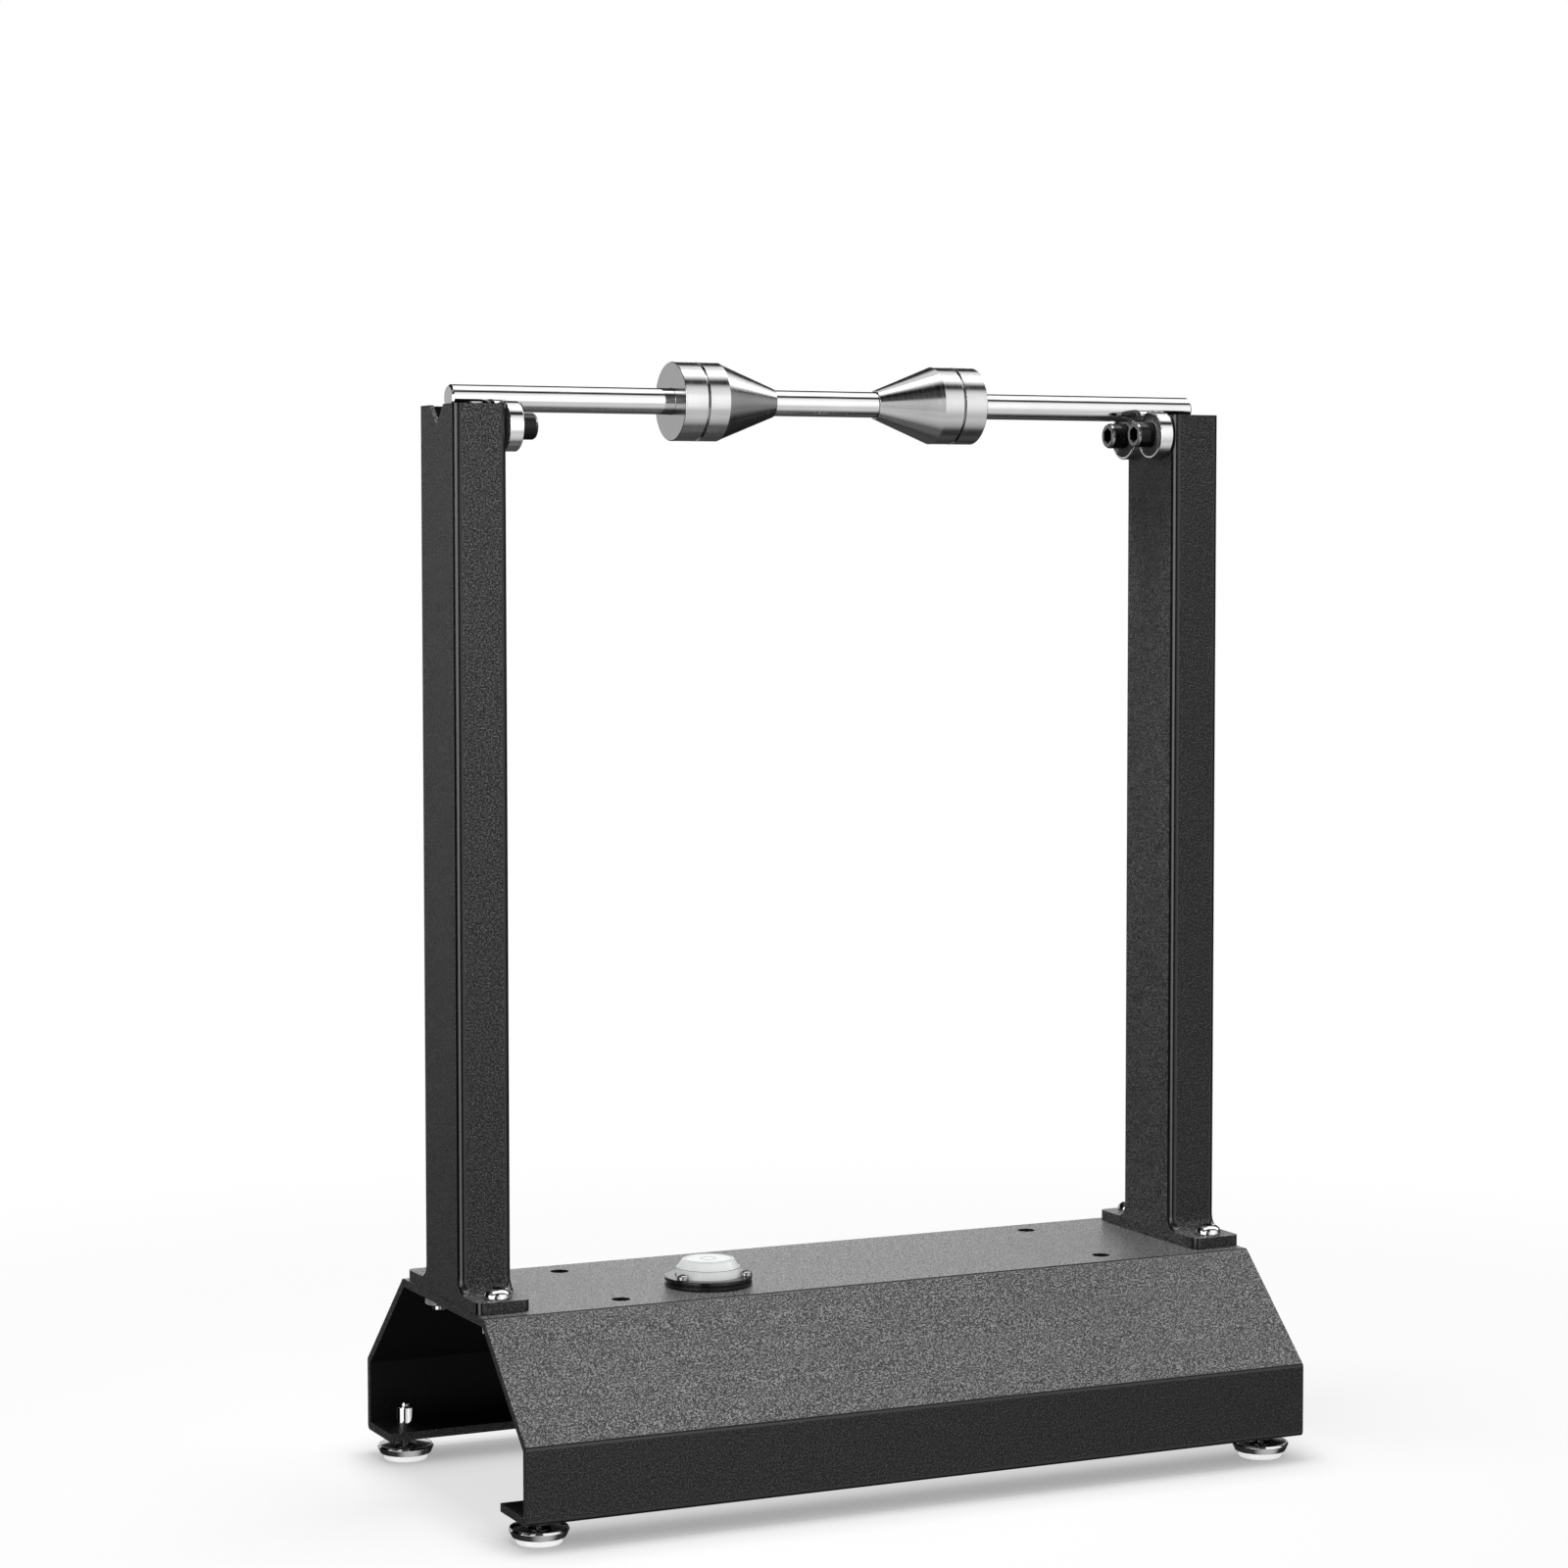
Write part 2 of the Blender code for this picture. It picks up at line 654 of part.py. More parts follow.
def levelling_foot():
    """Bevelled disc, hexagon for a spanner, and the stud that screws into the base."""
    recess = PAD_SPIGOT_DIAMETER / 2 + GAP
    recess_z = PAD_HEIGHT + PAD_SPIGOT_HEIGHT + GAP
    stud = STUD_DIAMETER / 2
    stud_top_z = insert_top_z + STUD_ABOVE_INSERT
    profile = [
        (0, recess_z),
        (recess, recess_z),
        (recess, disc_bottom_z),
        (DISC_LOWER_DIAMETER / 2, disc_bottom_z),
        (DISC_DIAMETER / 2, disc_top_z - DISC_CHAMFER),
        (DISC_DIAMETER / 2 - DISC_CHAMFER, disc_top_z),
        (stud, disc_top_z),
        (stud, stud_top_z - POINT_CHAMFER),
        (stud - POINT_CHAMFER, stud_top_z),
        (0, stud_top_z),
    ]
    mesh = turned("levelling_foot", profile, FOOT_TURN)
    buried_z = disc_top_z - DISC_CHAMFER
    hex_collar = prism("hex", hexagon(HEX_WIDTH), buried_z, disc_top_z + HEX_HEIGHT)
    return combined(mesh, hex_collar, "UNION")


def foot_insert():
    """Threaded insert in a flange of the base, its thin head below the sheet."""
    shoulder_z = insert_bottom_z + INSERT_HEAD_THICKNESS
    head_radius = insert_radius + INSERT_HEAD_WALL
    profile = [
        (insert_bore_radius, insert_bottom_z),
        (head_radius, insert_bottom_z),
        (head_radius, shoulder_z),
        (insert_radius, shoulder_z),
        (insert_radius, insert_top_z),
        (insert_bore_radius, insert_top_z),
    ]
    return turned("foot_insert", profile, SCREW_TURN)


def level_flange():
    """Retaining ring over the vial's lip, grooved round its rim, with its screw holes."""
    radius = LEVEL_DIAMETER / 2
    bore = VIAL_DIAMETER / 2 + GAP
    lip_bore = bore + VIAL_LIP_WIDTH
    lip_z = VIAL_LIP_HEIGHT + GAP
    middle = LEVEL_RING_HEIGHT / 2
    profile = [
        (lip_bore, 0),
        (radius, 0),
        (radius, middle - LEVEL_RING_GROOVE),
        (radius - LEVEL_RING_GROOVE, middle),
        (radius, middle + LEVEL_RING_GROOVE),
        (radius, LEVEL_RING_HEIGHT - LEVEL_RING_EDGE),
        (radius - LEVEL_RING_EDGE, LEVEL_RING_HEIGHT),
        (bore, LEVEL_RING_HEIGHT),
        (bore, lip_z),
        (lip_bore, lip_z),
    ]
    mesh = turned("level_flange", profile, LARGE_TURN)
    for place in level_screw_places():
        cutter = hole_cutter(
            level_screw_hole_radius, -OVERRUN, LEVEL_RING_HEIGHT + OVERRUN, place
        )
        mesh = combined(mesh, cutter, "DIFFERENCE")
    return mesh


def level_vial():
    """Clear cup, open below, with a lip under the flange and a ceiling hollowed for the bubble."""
    radius = VIAL_DIAMETER / 2
    inner = radius - VIAL_WALL
    side_top_z = LEVEL_RING_HEIGHT + VIAL_SIDE_ABOVE_RING
    top_z = side_top_z + VIAL_TAPER_HEIGHT
    ceiling_z = top_z - VIAL_WALL - VIAL_CEILING_RISE
    profile = [
        (inner, 0),
        (radius + VIAL_LIP_WIDTH, 0),
        (radius + VIAL_LIP_WIDTH, VIAL_LIP_HEIGHT),
        (radius, VIAL_LIP_HEIGHT),
        (radius, side_top_z),
        (radius - VIAL_SHOULDER, side_top_z),
        (VIAL_TOP_DIAMETER / 2, top_z),
        (0, top_z),
        (0, ceiling_z + VIAL_CEILING_RISE),
        (VIAL_TOP_DIAMETER / 2 - VIAL_WALL, ceiling_z),
        (inner, side_top_z - VIAL_SHOULDER),
    ]
    return turned("level_vial", profile, LARGE_TURN)


def level_plug():
    """Disc that closes the vial from below."""
    radius = VIAL_DIAMETER / 2 - VIAL_WALL - GAP
    profile = [(0, 0), (radius, 0), (radius, PLUG_HEIGHT), (0, PLUG_HEIGHT)]
    return turned("level_plug", profile, LARGE_TURN)


def level_screw():
    """Pan head screw with its head's underside at z = 0."""
    radius = LEVEL_SCREW_DIAMETER / 2
    head_radius = LEVEL_SCREW_HEAD_DIAMETER / 2
    end = -(GAP + LEVEL_RING_HEIGHT + GAP + SHEET + LEVEL_SCREW_TIP)
    profile = [
        (0, end),
        (radius, end + radius),
        (radius, 0),
        (head_radius, 0),
        (head_radius, LEVEL_SCREW_HEAD_HEIGHT / 2),
        (head_radius / 2, LEVEL_SCREW_HEAD_HEIGHT),
        (0, LEVEL_SCREW_HEAD_HEIGHT),
    ]
    return turned("level_screw", profile, SCREW_TURN)


def build_frame(looks):
    """Base, posts, and the bolts and nuts that join them."""
    add("base_channel", base_channel(), looks["powder_coat"])
    post_mesh = post()
    bolt_mesh = post_bolt()
    nut_mesh = hex_nut(BOLT_DIAMETER / 2 + GAP)
    bolt_z = post_bottom_z + PLATE_THICKNESS + GAP
    nut_z = base_top_z - SHEET - GAP
    for name, end, turn in (("left", -1, math.pi), ("right", 1, 0)):
        place = (end * post_x, 0, post_bottom_z)
        add(f"{name}_post", post_mesh, looks["powder_coat"], None, place, (0, 0, turn))
        for corner, side in (("front", -1), ("rear", 1)):
            x, y = end * post_x, side * bolt_y
            label = f"{name}_{corner}"
            add(f"{label}_post_bolt", bolt_mesh, looks["bright_steel"], None, (x, y, bolt_z))
            add(f"{label}_post_nut", nut_mesh, looks["zinc_steel"], None, (x, y, nut_z))


def build_feet(looks):
    """Four levelling feet, each with its insert and pad."""
    pieces = (
        ("foot_insert", foot_insert(), looks["bright_steel"]),
        ("levelling_foot", levelling_foot(), looks["bright_steel"]),
        ("foot_pad", foot_pad(), looks["nylon"]),
    )
    for name, end in (("left", -1), ("right", 1)):
        for corner, side in (("front", -1), ("rear", 1)):
            axis = axis_empty(f"{name}_{corner}_foot_axis", (end * foot_x, side * foot_y, 0))
            for piece, mesh, look in pieces:
                add(f"{name}_{corner}_{piece}", mesh, look, axis)


def build_bearings(looks):
    """Four bearings with their screws, spacers and nuts, each stack about its own axis."""
    nut_mesh = hex_nut(bearing_hole_radius)
    nut_mesh.transform(Matrix.Translation((0, 0, bearing_nut_start)))
    pieces = (
        ("bearing_screw", bearing_screw(), looks["black_oxide"]),
        ("bearing_spacer", bearing_spacer(), looks["zinc_steel"]),
        ("bearing_nut", nut_mesh, looks["zinc_steel"]),
        ("bearing_inner_ring", bearing_inner_ring(), looks["bright_steel"]),
        ("bearing_ball_pack", bearing_ball_pack(), looks["seal"]),
        ("bearing_outer_ring", bearing_outer_ring(), looks["bright_steel"]),
    )
    quarter = math.tau / 4
    for name, end in (("left", -1), ("right", 1)):
        for corner, side in (("front", -1), ("rear", 1)):
            place = (end * post_inner_face_x, side * bearing_y, bearing_z)
            facing = (0, -end * quarter, 0)
            axis = axis_empty(f"{name}_{corner}_bearing_axis", place, facing)
            for piece, mesh, look in pieces:
                add(f"{name}_{corner}_{piece}", mesh, look, axis)


def build_shaft(looks):
    """The shaft, and a cone with its collar and grub screw facing each way."""
    quarter = math.tau / 4
    axis = axis_empty("shaft_axis", (0, 0, shaft_z))
    centre = (SHAFT_SHIFT, 0, 0)
    add("shaft", shaft(), looks["bright_steel"], axis, centre, (0, quarter, 0))
    cone_mesh = cone()
    collar_mesh = collar()
    grub_mesh = grub_screw()
    sides = (("left", -1, LEFT_TIP_FROM_MIDDLE), ("right", 1, RIGHT_TIP_FROM_MIDDLE))
    for name, end, tip_from_middle in sides:
        outer_face_x = end * (tip_from_middle + cone_set_length)
        facing = (0, -end * quarter, 0)
        grub_x = outer_face_x - end * COLLAR_LENGTH / 2
        add(f"{name}_cone", cone_mesh, looks["brushed_steel"], axis, (outer_face_x, 0, 0), facing)
        add(f"{name}_collar", collar_mesh, looks["brushed_steel"], axis, (outer_face_x, 0, 0), facing)
        add(f"{name}_grub_screw", grub_mesh, looks["black_oxide"], axis, (grub_x, 0, 0), (-quarter, 0, 0))


def build_level(looks):
    """The round level and its screws."""
    axis = axis_empty("level_axis", (level_x, level_y, base_top_z + GAP))
    add("level_flange", level_flange(), looks["black_plastic"], axis)
    add("level_vial", level_vial(), looks["clear_plastic"], axis)
    add("level_plug", level_plug(), looks["clear_plastic"], axis)
    screw_mesh = level_screw()
    for number, (x, y) in enumerate(level_screw_places(), start=1):
        place = (x, y, LEVEL_RING_HEIGHT + GAP)
        add(f"level_screw_{number}", screw_mesh, looks["bright_steel"], axis, place)


def main():
    clear_scene()
    looks = {
        "powder_coat": metal("powder_coat", (0.03, 0.03, 0.032), 0.55, 0.0),
        "bright_steel": metal("bright_steel", (0.75, 0.75, 0.76), 0.12, 1.0),
        "brushed_steel": metal("brushed_steel", (0.6, 0.6, 0.61), 0.28, 1.0),
        "zinc_steel": metal("zinc_steel", (0.45, 0.45, 0.46), 0.4, 1.0),
        "black_oxide": metal("black_oxide", (0.02, 0.02, 0.02), 0.35, 0.6),
        "seal": metal("seal", (0.05, 0.05, 0.055), 0.6, 0.0),
        "nylon": metal("nylon", (0.75, 0.74, 0.7), 0.5, 0.0),
        "black_plastic": metal("black_plastic", (0.03, 0.03, 0.03), 0.4, 0.0),
        "clear_plastic": metal("clear_plastic", (0.8, 0.85, 0.85), 0.1, 0.0),
    }
    build_frame(looks)
    build_feet(looks)
    build_bearings(looks)
    build_shaft(looks)
    build_level(looks)


main()
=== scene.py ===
import math

import bmesh
import bpy
from mathutils import Matrix, Vector


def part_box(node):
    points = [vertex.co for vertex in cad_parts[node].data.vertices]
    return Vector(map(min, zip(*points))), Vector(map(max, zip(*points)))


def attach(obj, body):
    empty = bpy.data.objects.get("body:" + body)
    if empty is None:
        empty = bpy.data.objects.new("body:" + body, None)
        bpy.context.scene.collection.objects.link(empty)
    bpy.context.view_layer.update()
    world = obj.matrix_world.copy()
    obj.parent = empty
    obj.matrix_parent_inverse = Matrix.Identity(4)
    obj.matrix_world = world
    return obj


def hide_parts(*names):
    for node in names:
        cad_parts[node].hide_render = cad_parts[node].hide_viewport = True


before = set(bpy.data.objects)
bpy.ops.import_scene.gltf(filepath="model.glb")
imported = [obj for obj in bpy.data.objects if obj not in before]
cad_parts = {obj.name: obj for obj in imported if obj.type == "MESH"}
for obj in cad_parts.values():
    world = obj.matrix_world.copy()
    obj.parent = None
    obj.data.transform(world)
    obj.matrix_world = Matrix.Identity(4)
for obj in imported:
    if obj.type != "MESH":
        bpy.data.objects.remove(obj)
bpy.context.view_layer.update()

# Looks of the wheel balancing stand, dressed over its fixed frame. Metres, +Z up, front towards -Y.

MM = 0.001
QUARTER = math.tau / 4

# Facets round a full turn
FINE_TURN = 128
MEDIUM_TURN = 64
SMALL_TURN = 48
THREAD_TURN = 36
THREAD_ROWS = 8

# Rounding of small edges
SOFT_EDGE = 0.35 * MM
FINE_EDGE = 0.15 * MM
EDGE_STEPS = 3
BEVEL_SEGMENTS = 2
BEVEL_OVER = math.radians(45)
SMOOTH_UNDER = math.radians(38)
STRAIGHT_OVER = math.radians(89)
SIDE_SHARE = 0.48
ON_AXIS = 1e-7
OVERRUN = 1 * MM

# Base sheet
SHEET = 4 * MM
BEND_OUTSIDE = 2.5 * MM
BEND_INSIDE = 0.4 * MM
BEND_STEPS = 12
SIDE_WALL_HEIGHT = 35.7 * MM
FLANGE_WIDTH = 32.7 * MM
INSIDE_OVER = 0.9 * SHEET
TOP_EDGE_MARGIN = 7 * MM
BOLT_HOLE_RADIUS = 4.5 * MM
SPARE_POST_INSET = 62.5 * MM

# Posts
POST_WALL = 2 * MM
POST_CORNER = 3.4 * MM
POST_INNER_CORNER = 0.5 * MM
CORNER_STEPS = 8
PLATE_THICKNESS = 5.5 * MM
WELD_RADIUS = 7.5 * MM
WELD_STEPS = 10
NOTCH_BELOW_SHAFT = 8.85 * MM * math.sqrt(2)
NOTCH_ROUNDING = 0.8 * MM
BOLT_FROM_POST = 14.7 * MM
BEARING_HOLE_RADIUS = 4.1 * MM

# Bolts and nuts
HEAD_HEIGHT = 4.5 * MM
HEAD_RIM = 0.7 * MM
HEAD_FOOT_EDGE = 0.2 * MM
HEAD_FLAT_RADIUS = 2.9 * MM
HEAD_STEPS = 14
HEAD_SOCKET_WIDTH = 5 * MM
HEAD_SOCKET_DEPTH = 2.6 * MM
SHANK_RADIUS = 3.7 * MM
SHANK_END_INSET = 2 * MM
BOLT_THREAD_PITCH = 0.625 * MM
BOLT_TIP_RADIUS = 3.9 * MM
BOLT_TIP_IN_NUT = 3 * MM
NUT_WIDTH = 13 * MM
NUT_BORE_RADIUS = 4.3 * MM
NUT_BORE_CHAMFER = 0.4 * MM
NUT_FACE_SHARE = 0.95
NUT_CHAMFER_ANGLE = math.radians(30)
THREAD_DEPTH_SHARE = 0.55
THREAD_TAPER_SHARE = 1.4
THREAD_FLANK_SHARE = 1.25

# Bearings, along each one's axis from the post's inner face
RING_RIM = 1.3 * MM
RING_EDGE = 0.45 * MM
RING_LAND = 0.9 * MM
RING_GROOVE_START = 1.1 * MM
RING_GROOVE_DEPTH = 0.25 * MM
INNER_RING_RADIUS = 6.0 * MM
SEAL_INNER_GAP = 0.2 * MM
SEAL_OUTER_GAP = 0.1 * MM
SEAL_RECESS = 0.45 * MM
SEAL_LIP = 0.25 * MM
SEAL_LIP_START = 0.9 * MM
SEAL_LIP_END = 1.2 * MM
CAP_GAP = 0.3 * MM
CAP_SHANK_RADIUS = 3.8 * MM
CAP_TIP_RADIUS = 3.3 * MM
CAP_TIP_LENGTH = 0.6 * MM
CAP_CHAMFER = 1.1 * MM
CAP_CHAMFER_SHARE = 0.55
CAP_SOCKET_WIDTH = 7.4 * MM
CAP_SOCKET_DEPTH = 4 * MM

# Shaft, cones and collars
SHAFT_CHAMFER = 1 * MM
CONE_LAND = 10.8 * MM
CONE_EDGE = 0.3 * MM
CONE_TIP_WALL = 0.65 * MM
COLLAR_EDGE = 0.5 * MM
BORE_CLEARANCE = 0.15 * MM
GRUB_HOLE_RADIUS = 2.8 * MM
GROOVE_DEPTH = 2.2 * MM
GROOVE_HALF = 0.55 * MM

# Levelling feet
DISC_LOWER_RADIUS = 12.5 * MM
DISC_RECESS_RADIUS = 9.2 * MM
DISC_RECESS_MOUTH = 9.8 * MM
DISC_RECESS_DEPTH = 1.2 * MM
DISC_HEIGHT = 4.4 * MM
DISC_BEVEL = 1.2 * MM
DISC_BEVEL_SHARE = 0.45
DISC_RISE = 1.3 * MM
RIM_WIDTH = 0.6 * MM
RIM_STEP = 0.15 * MM
HEX_WIDTH = 9 * MM
HEX_HEIGHT = 1.6 * MM
HEX_MARGIN = 0.2 * MM
HEX_FACE_SHARE = 0.96
HEX_BARREL_RADIUS = 6 * MM
HEX_CHAMFER = 0.7 * MM
STUD_RADIUS = 3 * MM
STUD_PITCH = 1 * MM
STUD_CLEARANCE = 0.3 * MM
PAD_EDGE_WIDTH = 0.6 * MM
PAD_EDGE_HEIGHT = 0.7 * MM
PAD_TAPER = 0.1 * MM
PAD_HEIGHT = 2.95 * MM
PAD_SPIGOT_RADIUS = 7 * MM
INSERT_HEAD_THICKNESS = 1 * MM
INSERT_RADIUS = 4.6 * MM
INSERT_BEVEL = 0.45 * MM
INSERT_MOUTH_WIDTH = 0.1 * MM
INSERT_MOUTH_DEPTH = 0.2 * MM

# Round level
LEVEL_RING_GROOVE = 0.55 * MM
LEVEL_GROOVE_DEPTH = 0.8 * MM
LEVEL_EDGE = 0.5 * MM
LEVEL_MOUTH_WIDTH = 0.6 * MM
LEVEL_SEAT_WIDTH = 1.2 * MM
LEVEL_SEAT_HEIGHT = 1.5 * MM
LEVEL_SCREW_HOLE_RADIUS = 1.7 * MM
VIAL_BOTTOM = 0.2 * MM
VIAL_SHOULDER = 0.5 * MM
VIAL_SHOULDER_RISE = 0.05 * MM
VIAL_TAPER_HEIGHT = 3.9 * MM
VIAL_TOP_RADIUS = 12.4 * MM
VIAL_TOP_EDGE = 0.6 * MM
VIAL_RADIUS = 15.5 * MM
VIAL_WALL = 0.7 * MM
FLUID_BOTTOM = 0.9 * MM
FLUID_EDGE = 1.2 * MM
BUBBLE_RADIUS = 2.7 * MM
BUBBLE_RIM = 0.5 * MM
BUBBLE_DEPTH = 0.9 * MM
TARGET_RADIUS = 3.65 * MM
TARGET_LINE = 0.3 * MM
TARGET_SUNK = 0.1 * MM
TARGET_PROUD = 0.06 * MM
TARGET_EDGE = 0.03 * MM
EDGE_LINE_HALF_WIDTH = 0.15 * MM
EDGE_LINE_HALF_HEIGHT = 0.12 * MM
EDGE_LINE_ROUNDING = 0.05 * MM
RIM_LINE_INSET = 1.1 * MM
RIM_LINE_DEPTH = 0.06 * MM
SHOULDER_LINE_INSET = 0.12 * MM
SHOULDER_LINE_DEPTH = 0.1 * MM
PAN_RADIUS = 2.9 * MM
PAN_FLAT_SHARE = 0.35
PAN_RIM_SHARE = 0.45
PAN_STEPS = 8
PAN_UNDERSIDE = 0.3 * MM
PAN_SHANK_RADIUS = 1.35 * MM
PAN_SHANK_LENGTH = 8 * MM
PAN_TIP_LENGTH = 9 * MM
CROSS_WIDTH = 0.9 * MM
CROSS_REACH = 1.7 * MM
CROSS_DEPTH = 1.0 * MM

# Limits on shares of a face's normal, by which faces are told apart
SQUARE_TO_AXIS = 0.999
ON_A_FLAT = 0.9995
FACES_AXIS = 0.5
UPRIGHT = 0.3
ACROSS_AXIS = 0.1
WELD_LEAST = 0.2
WELD_MOST = 0.95
CORNER_TILT = 0.8
CORNER_LEAST = 0.06
RIM_HIGHLIGHT_LEAST = 0.3

# Ends and corners of the stand, each with its direction along X
ENDS = (("left", -1), ("right", 1))
CORNERS = (("left_front", -1), ("left_rear", -1), ("right_front", 1), ("right_rear", 1))
LEVEL_SCREWS = (1, 2, 3)

# Camera, found from the straight edges of the stand in the photograph
CAMERA_PLACE = (-0.8272, -1.6877, 0.4522)
CAMERA_TURN = (math.radians(86.464), math.radians(0.048), math.radians(-25.374))
LENS = 87.65
SENSOR = 36
VIEW_END = 50


def rounded(corners, steps=EDGE_STEPS):
    """Rounds each corner of a closed outline. A corner is (u, v) or (u, v, radius)."""
    places = [Vector(corner[:2]) for corner in corners]
    outline = []
    for number, corner in enumerate(corners):
        place = places[number]
        before = places[number - 1] - place
        after = places[(number + 1) % len(places)] - place
        radius = corner[2] if len(corner) > 2 else 0
        half = before.angle(after) / 2
        if radius <= 0 or half > STRAIGHT_OVER:
            outline.append(tuple(place))
            continue
        reach = min(radius / math.tan(half), SIDE_SHARE * before.length, SIDE_SHARE * after.length)
        radius = reach * math.tan(half)
        before.normalize()
        after.normalize()
        middle = place + (before + after).normalized() * radius / math.sin(half)
        first = place + before * reach - middle
        last = place + after * reach - middle
        sweep = first.angle_signed(last)
        for step in range(steps + 1):
            turn = Matrix.Rotation(-sweep * step / steps, 2)
            outline.append(tuple(middle + turn @ first))
    return outline


def made(bm, name):
    """Turns an edited mesh into one whose faces point out, smooth on its round sides."""
    bmesh.ops.recalc_face_normals(bm, faces=bm.faces)
    mesh = bpy.data.meshes.new(name)
    bm.to_mesh(mesh)
    bm.free()
    mesh.shade_smooth()
    mesh.set_sharp_from_angle(angle=SMOOTH_UNDER)
    return mesh


def turned(name, outline, segments):
    """Spins a closed outline of (radius, height) points about Z."""
    bm = bmesh.new()
    rings = []
    for radius, height in outline:
        if radius < ON_AXIS:
            rings.append([bm.verts.new((0, 0, height))] * segments)
            continue
        rings.append([bm.verts.new((x, y, height)) for x, y in circle(radius, segments)])
    for lower, upper in zip(rings, rings[1:] + rings[:1]):
        for number in range(segments):
            following = (number + 1) % segments
            corners = [lower[number], lower[following], upper[following], upper[number]]
            unique = [v for place, v in enumerate(corners) if v not in corners[:place]]
            if len(unique) > 2:
                bm.faces.new(unique)
    return made(bm, name)


def lofted(name, rings):
    """Joins rings of points, each with as many as the next, into one closed skin."""
    bm = bmesh.new()
    loops = [[bm.verts.new(point) for point in ring] for ring in rings]
    for below, above in zip(loops, loops[1:]):
        for a, b, c, d in zip(below, below[1:] + below[:1], above[1:] + above[:1], above):
            bm.faces.new((a, b, c, d))
    bm.faces.new(loops[0])
    bm.faces.new(loops[-1])
    return made(bm, name)


def prism(name, outline, start, end, along="Z"):
    """Extrudes an outline: (x, y) points along Z, or (y, z) points along X."""
    turn = {"Z": lambda u, v, w: (u, v, w), "X": lambda u, v, w: (w, u, v)}[along]
    rings = [[turn(u, v, level) for u, v in outline] for level in (start, end)]
    return lofted(name, rings)


def added(name, data):
    """A new object in the scene."""
    obj = bpy.data.objects.new(name, data)
    bpy.context.scene.collection.objects.link(obj)
    return obj


def combined(body, tool, operation="DIFFERENCE"):
    """One exact Boolean on two meshes, as a new mesh."""
    objects = [added(mesh.name, mesh) for mesh in (body, tool)]
    modifier = objects[0].modifiers.new("Boolean", "BOOLEAN")
    modifier.operation = operation
    modifier.object = objects[1]
    result = bpy.data.meshes.new_from_object(
        objects[0].evaluated_get(bpy.context.evaluated_depsgraph_get())
    )
    for obj in objects:
        bpy.data.objects.remove(obj)
    result.shade_smooth()
    result.set_sharp_from_angle(angle=SMOOTH_UNDER)
    return result


def threaded(name, radius, pitch, start, end):
    """A rod with a helical thread from start to end, its far end tapered."""
    depth = pitch * THREAD_DEPTH_SHARE
    rows = round((end - start) / pitch * THREAD_ROWS)
    rings = []
    for row in range(rows + 1):
        height = start + (end - start) * row / rows
        ring = []
        for number in range(THREAD_TURN):
            share = number / THREAD_TURN
            phase = (height / pitch - share) % 1
            crest = 1 - abs(2 * phase - 1)
            taper = (end - height) + radius - THREAD_TAPER_SHARE * depth
            reach = min(radius - depth * min(1, THREAD_FLANK_SHARE * crest), taper)
            ring.append((reach * math.cos(math.tau * share), reach * math.sin(math.tau * share), height))
        rings.append(ring)
    return lofted(name, rings)


def circle(radius, segments, centre=(0, 0)):
    turns = [math.tau * number / segments for number in range(segments)]
    return [(centre[0] + radius * math.cos(t), centre[1] + radius * math.sin(t)) for t in turns]


def hexagon(width):
    """Hexagon by its width across flats."""
    return circle(width / math.sqrt(3), 6)


def drilled(mesh, radius, centre, start, end, along="Z"):
    return combined(mesh, prism("hole", circle(radius, SMALL_TURN, centre), start, end, along))


def socketed(mesh, width, depth, top):
    """Cuts a hexagon socket down into a head from its top."""
    return combined(mesh, prism("socket", hexagon(width), top - depth, top + OVERRUN))


def rounded_rectangle(width, depth, radius):
    corners = [(x * width / 2, y * depth / 2, radius) for x, y in ((1, 1), (-1, 1), (-1, -1), (1, -1))]
    return rounded(corners, CORNER_STEPS)


def part(name, mesh, finish, body, place=(0, 0, 0), turn=(0, 0, 0), replaced=(), bevel=0):
    """Adds one piece of the stand: its finish, the body that it rides on, and what it stands for."""
    mesh.materials.clear()
    mesh.materials.append(LOOKS[finish])
    obj = added(name, mesh)
    obj.location = place
    obj.rotation_euler = turn
    if bevel:
        edge = obj.modifiers.new("Edges", "BEVEL")
        edge.width = bevel
        edge.segments = BEVEL_SEGMENTS
        edge.limit_method = "ANGLE"
        edge.angle_limit = BEVEL_OVER
    weighted = obj.modifiers.new("Weighted normals", "WEIGHTED_NORMAL")
    weighted.keep_sharp = True
    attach(obj, body)
    if replaced:
        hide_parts(*replaced)
    return obj


def refinish(obj, finish, chosen):
    """Gives the faces for which chosen(centre, normal) holds a second finish."""
    mesh = obj.data
    mesh.materials.append(LOOKS[finish])
    for face in mesh.polygons:
        if chosen(face.center, face.normal):
            face.material_index = len(mesh.materials) - 1


# Materials by name, entered as each look is made
LOOKS = {}


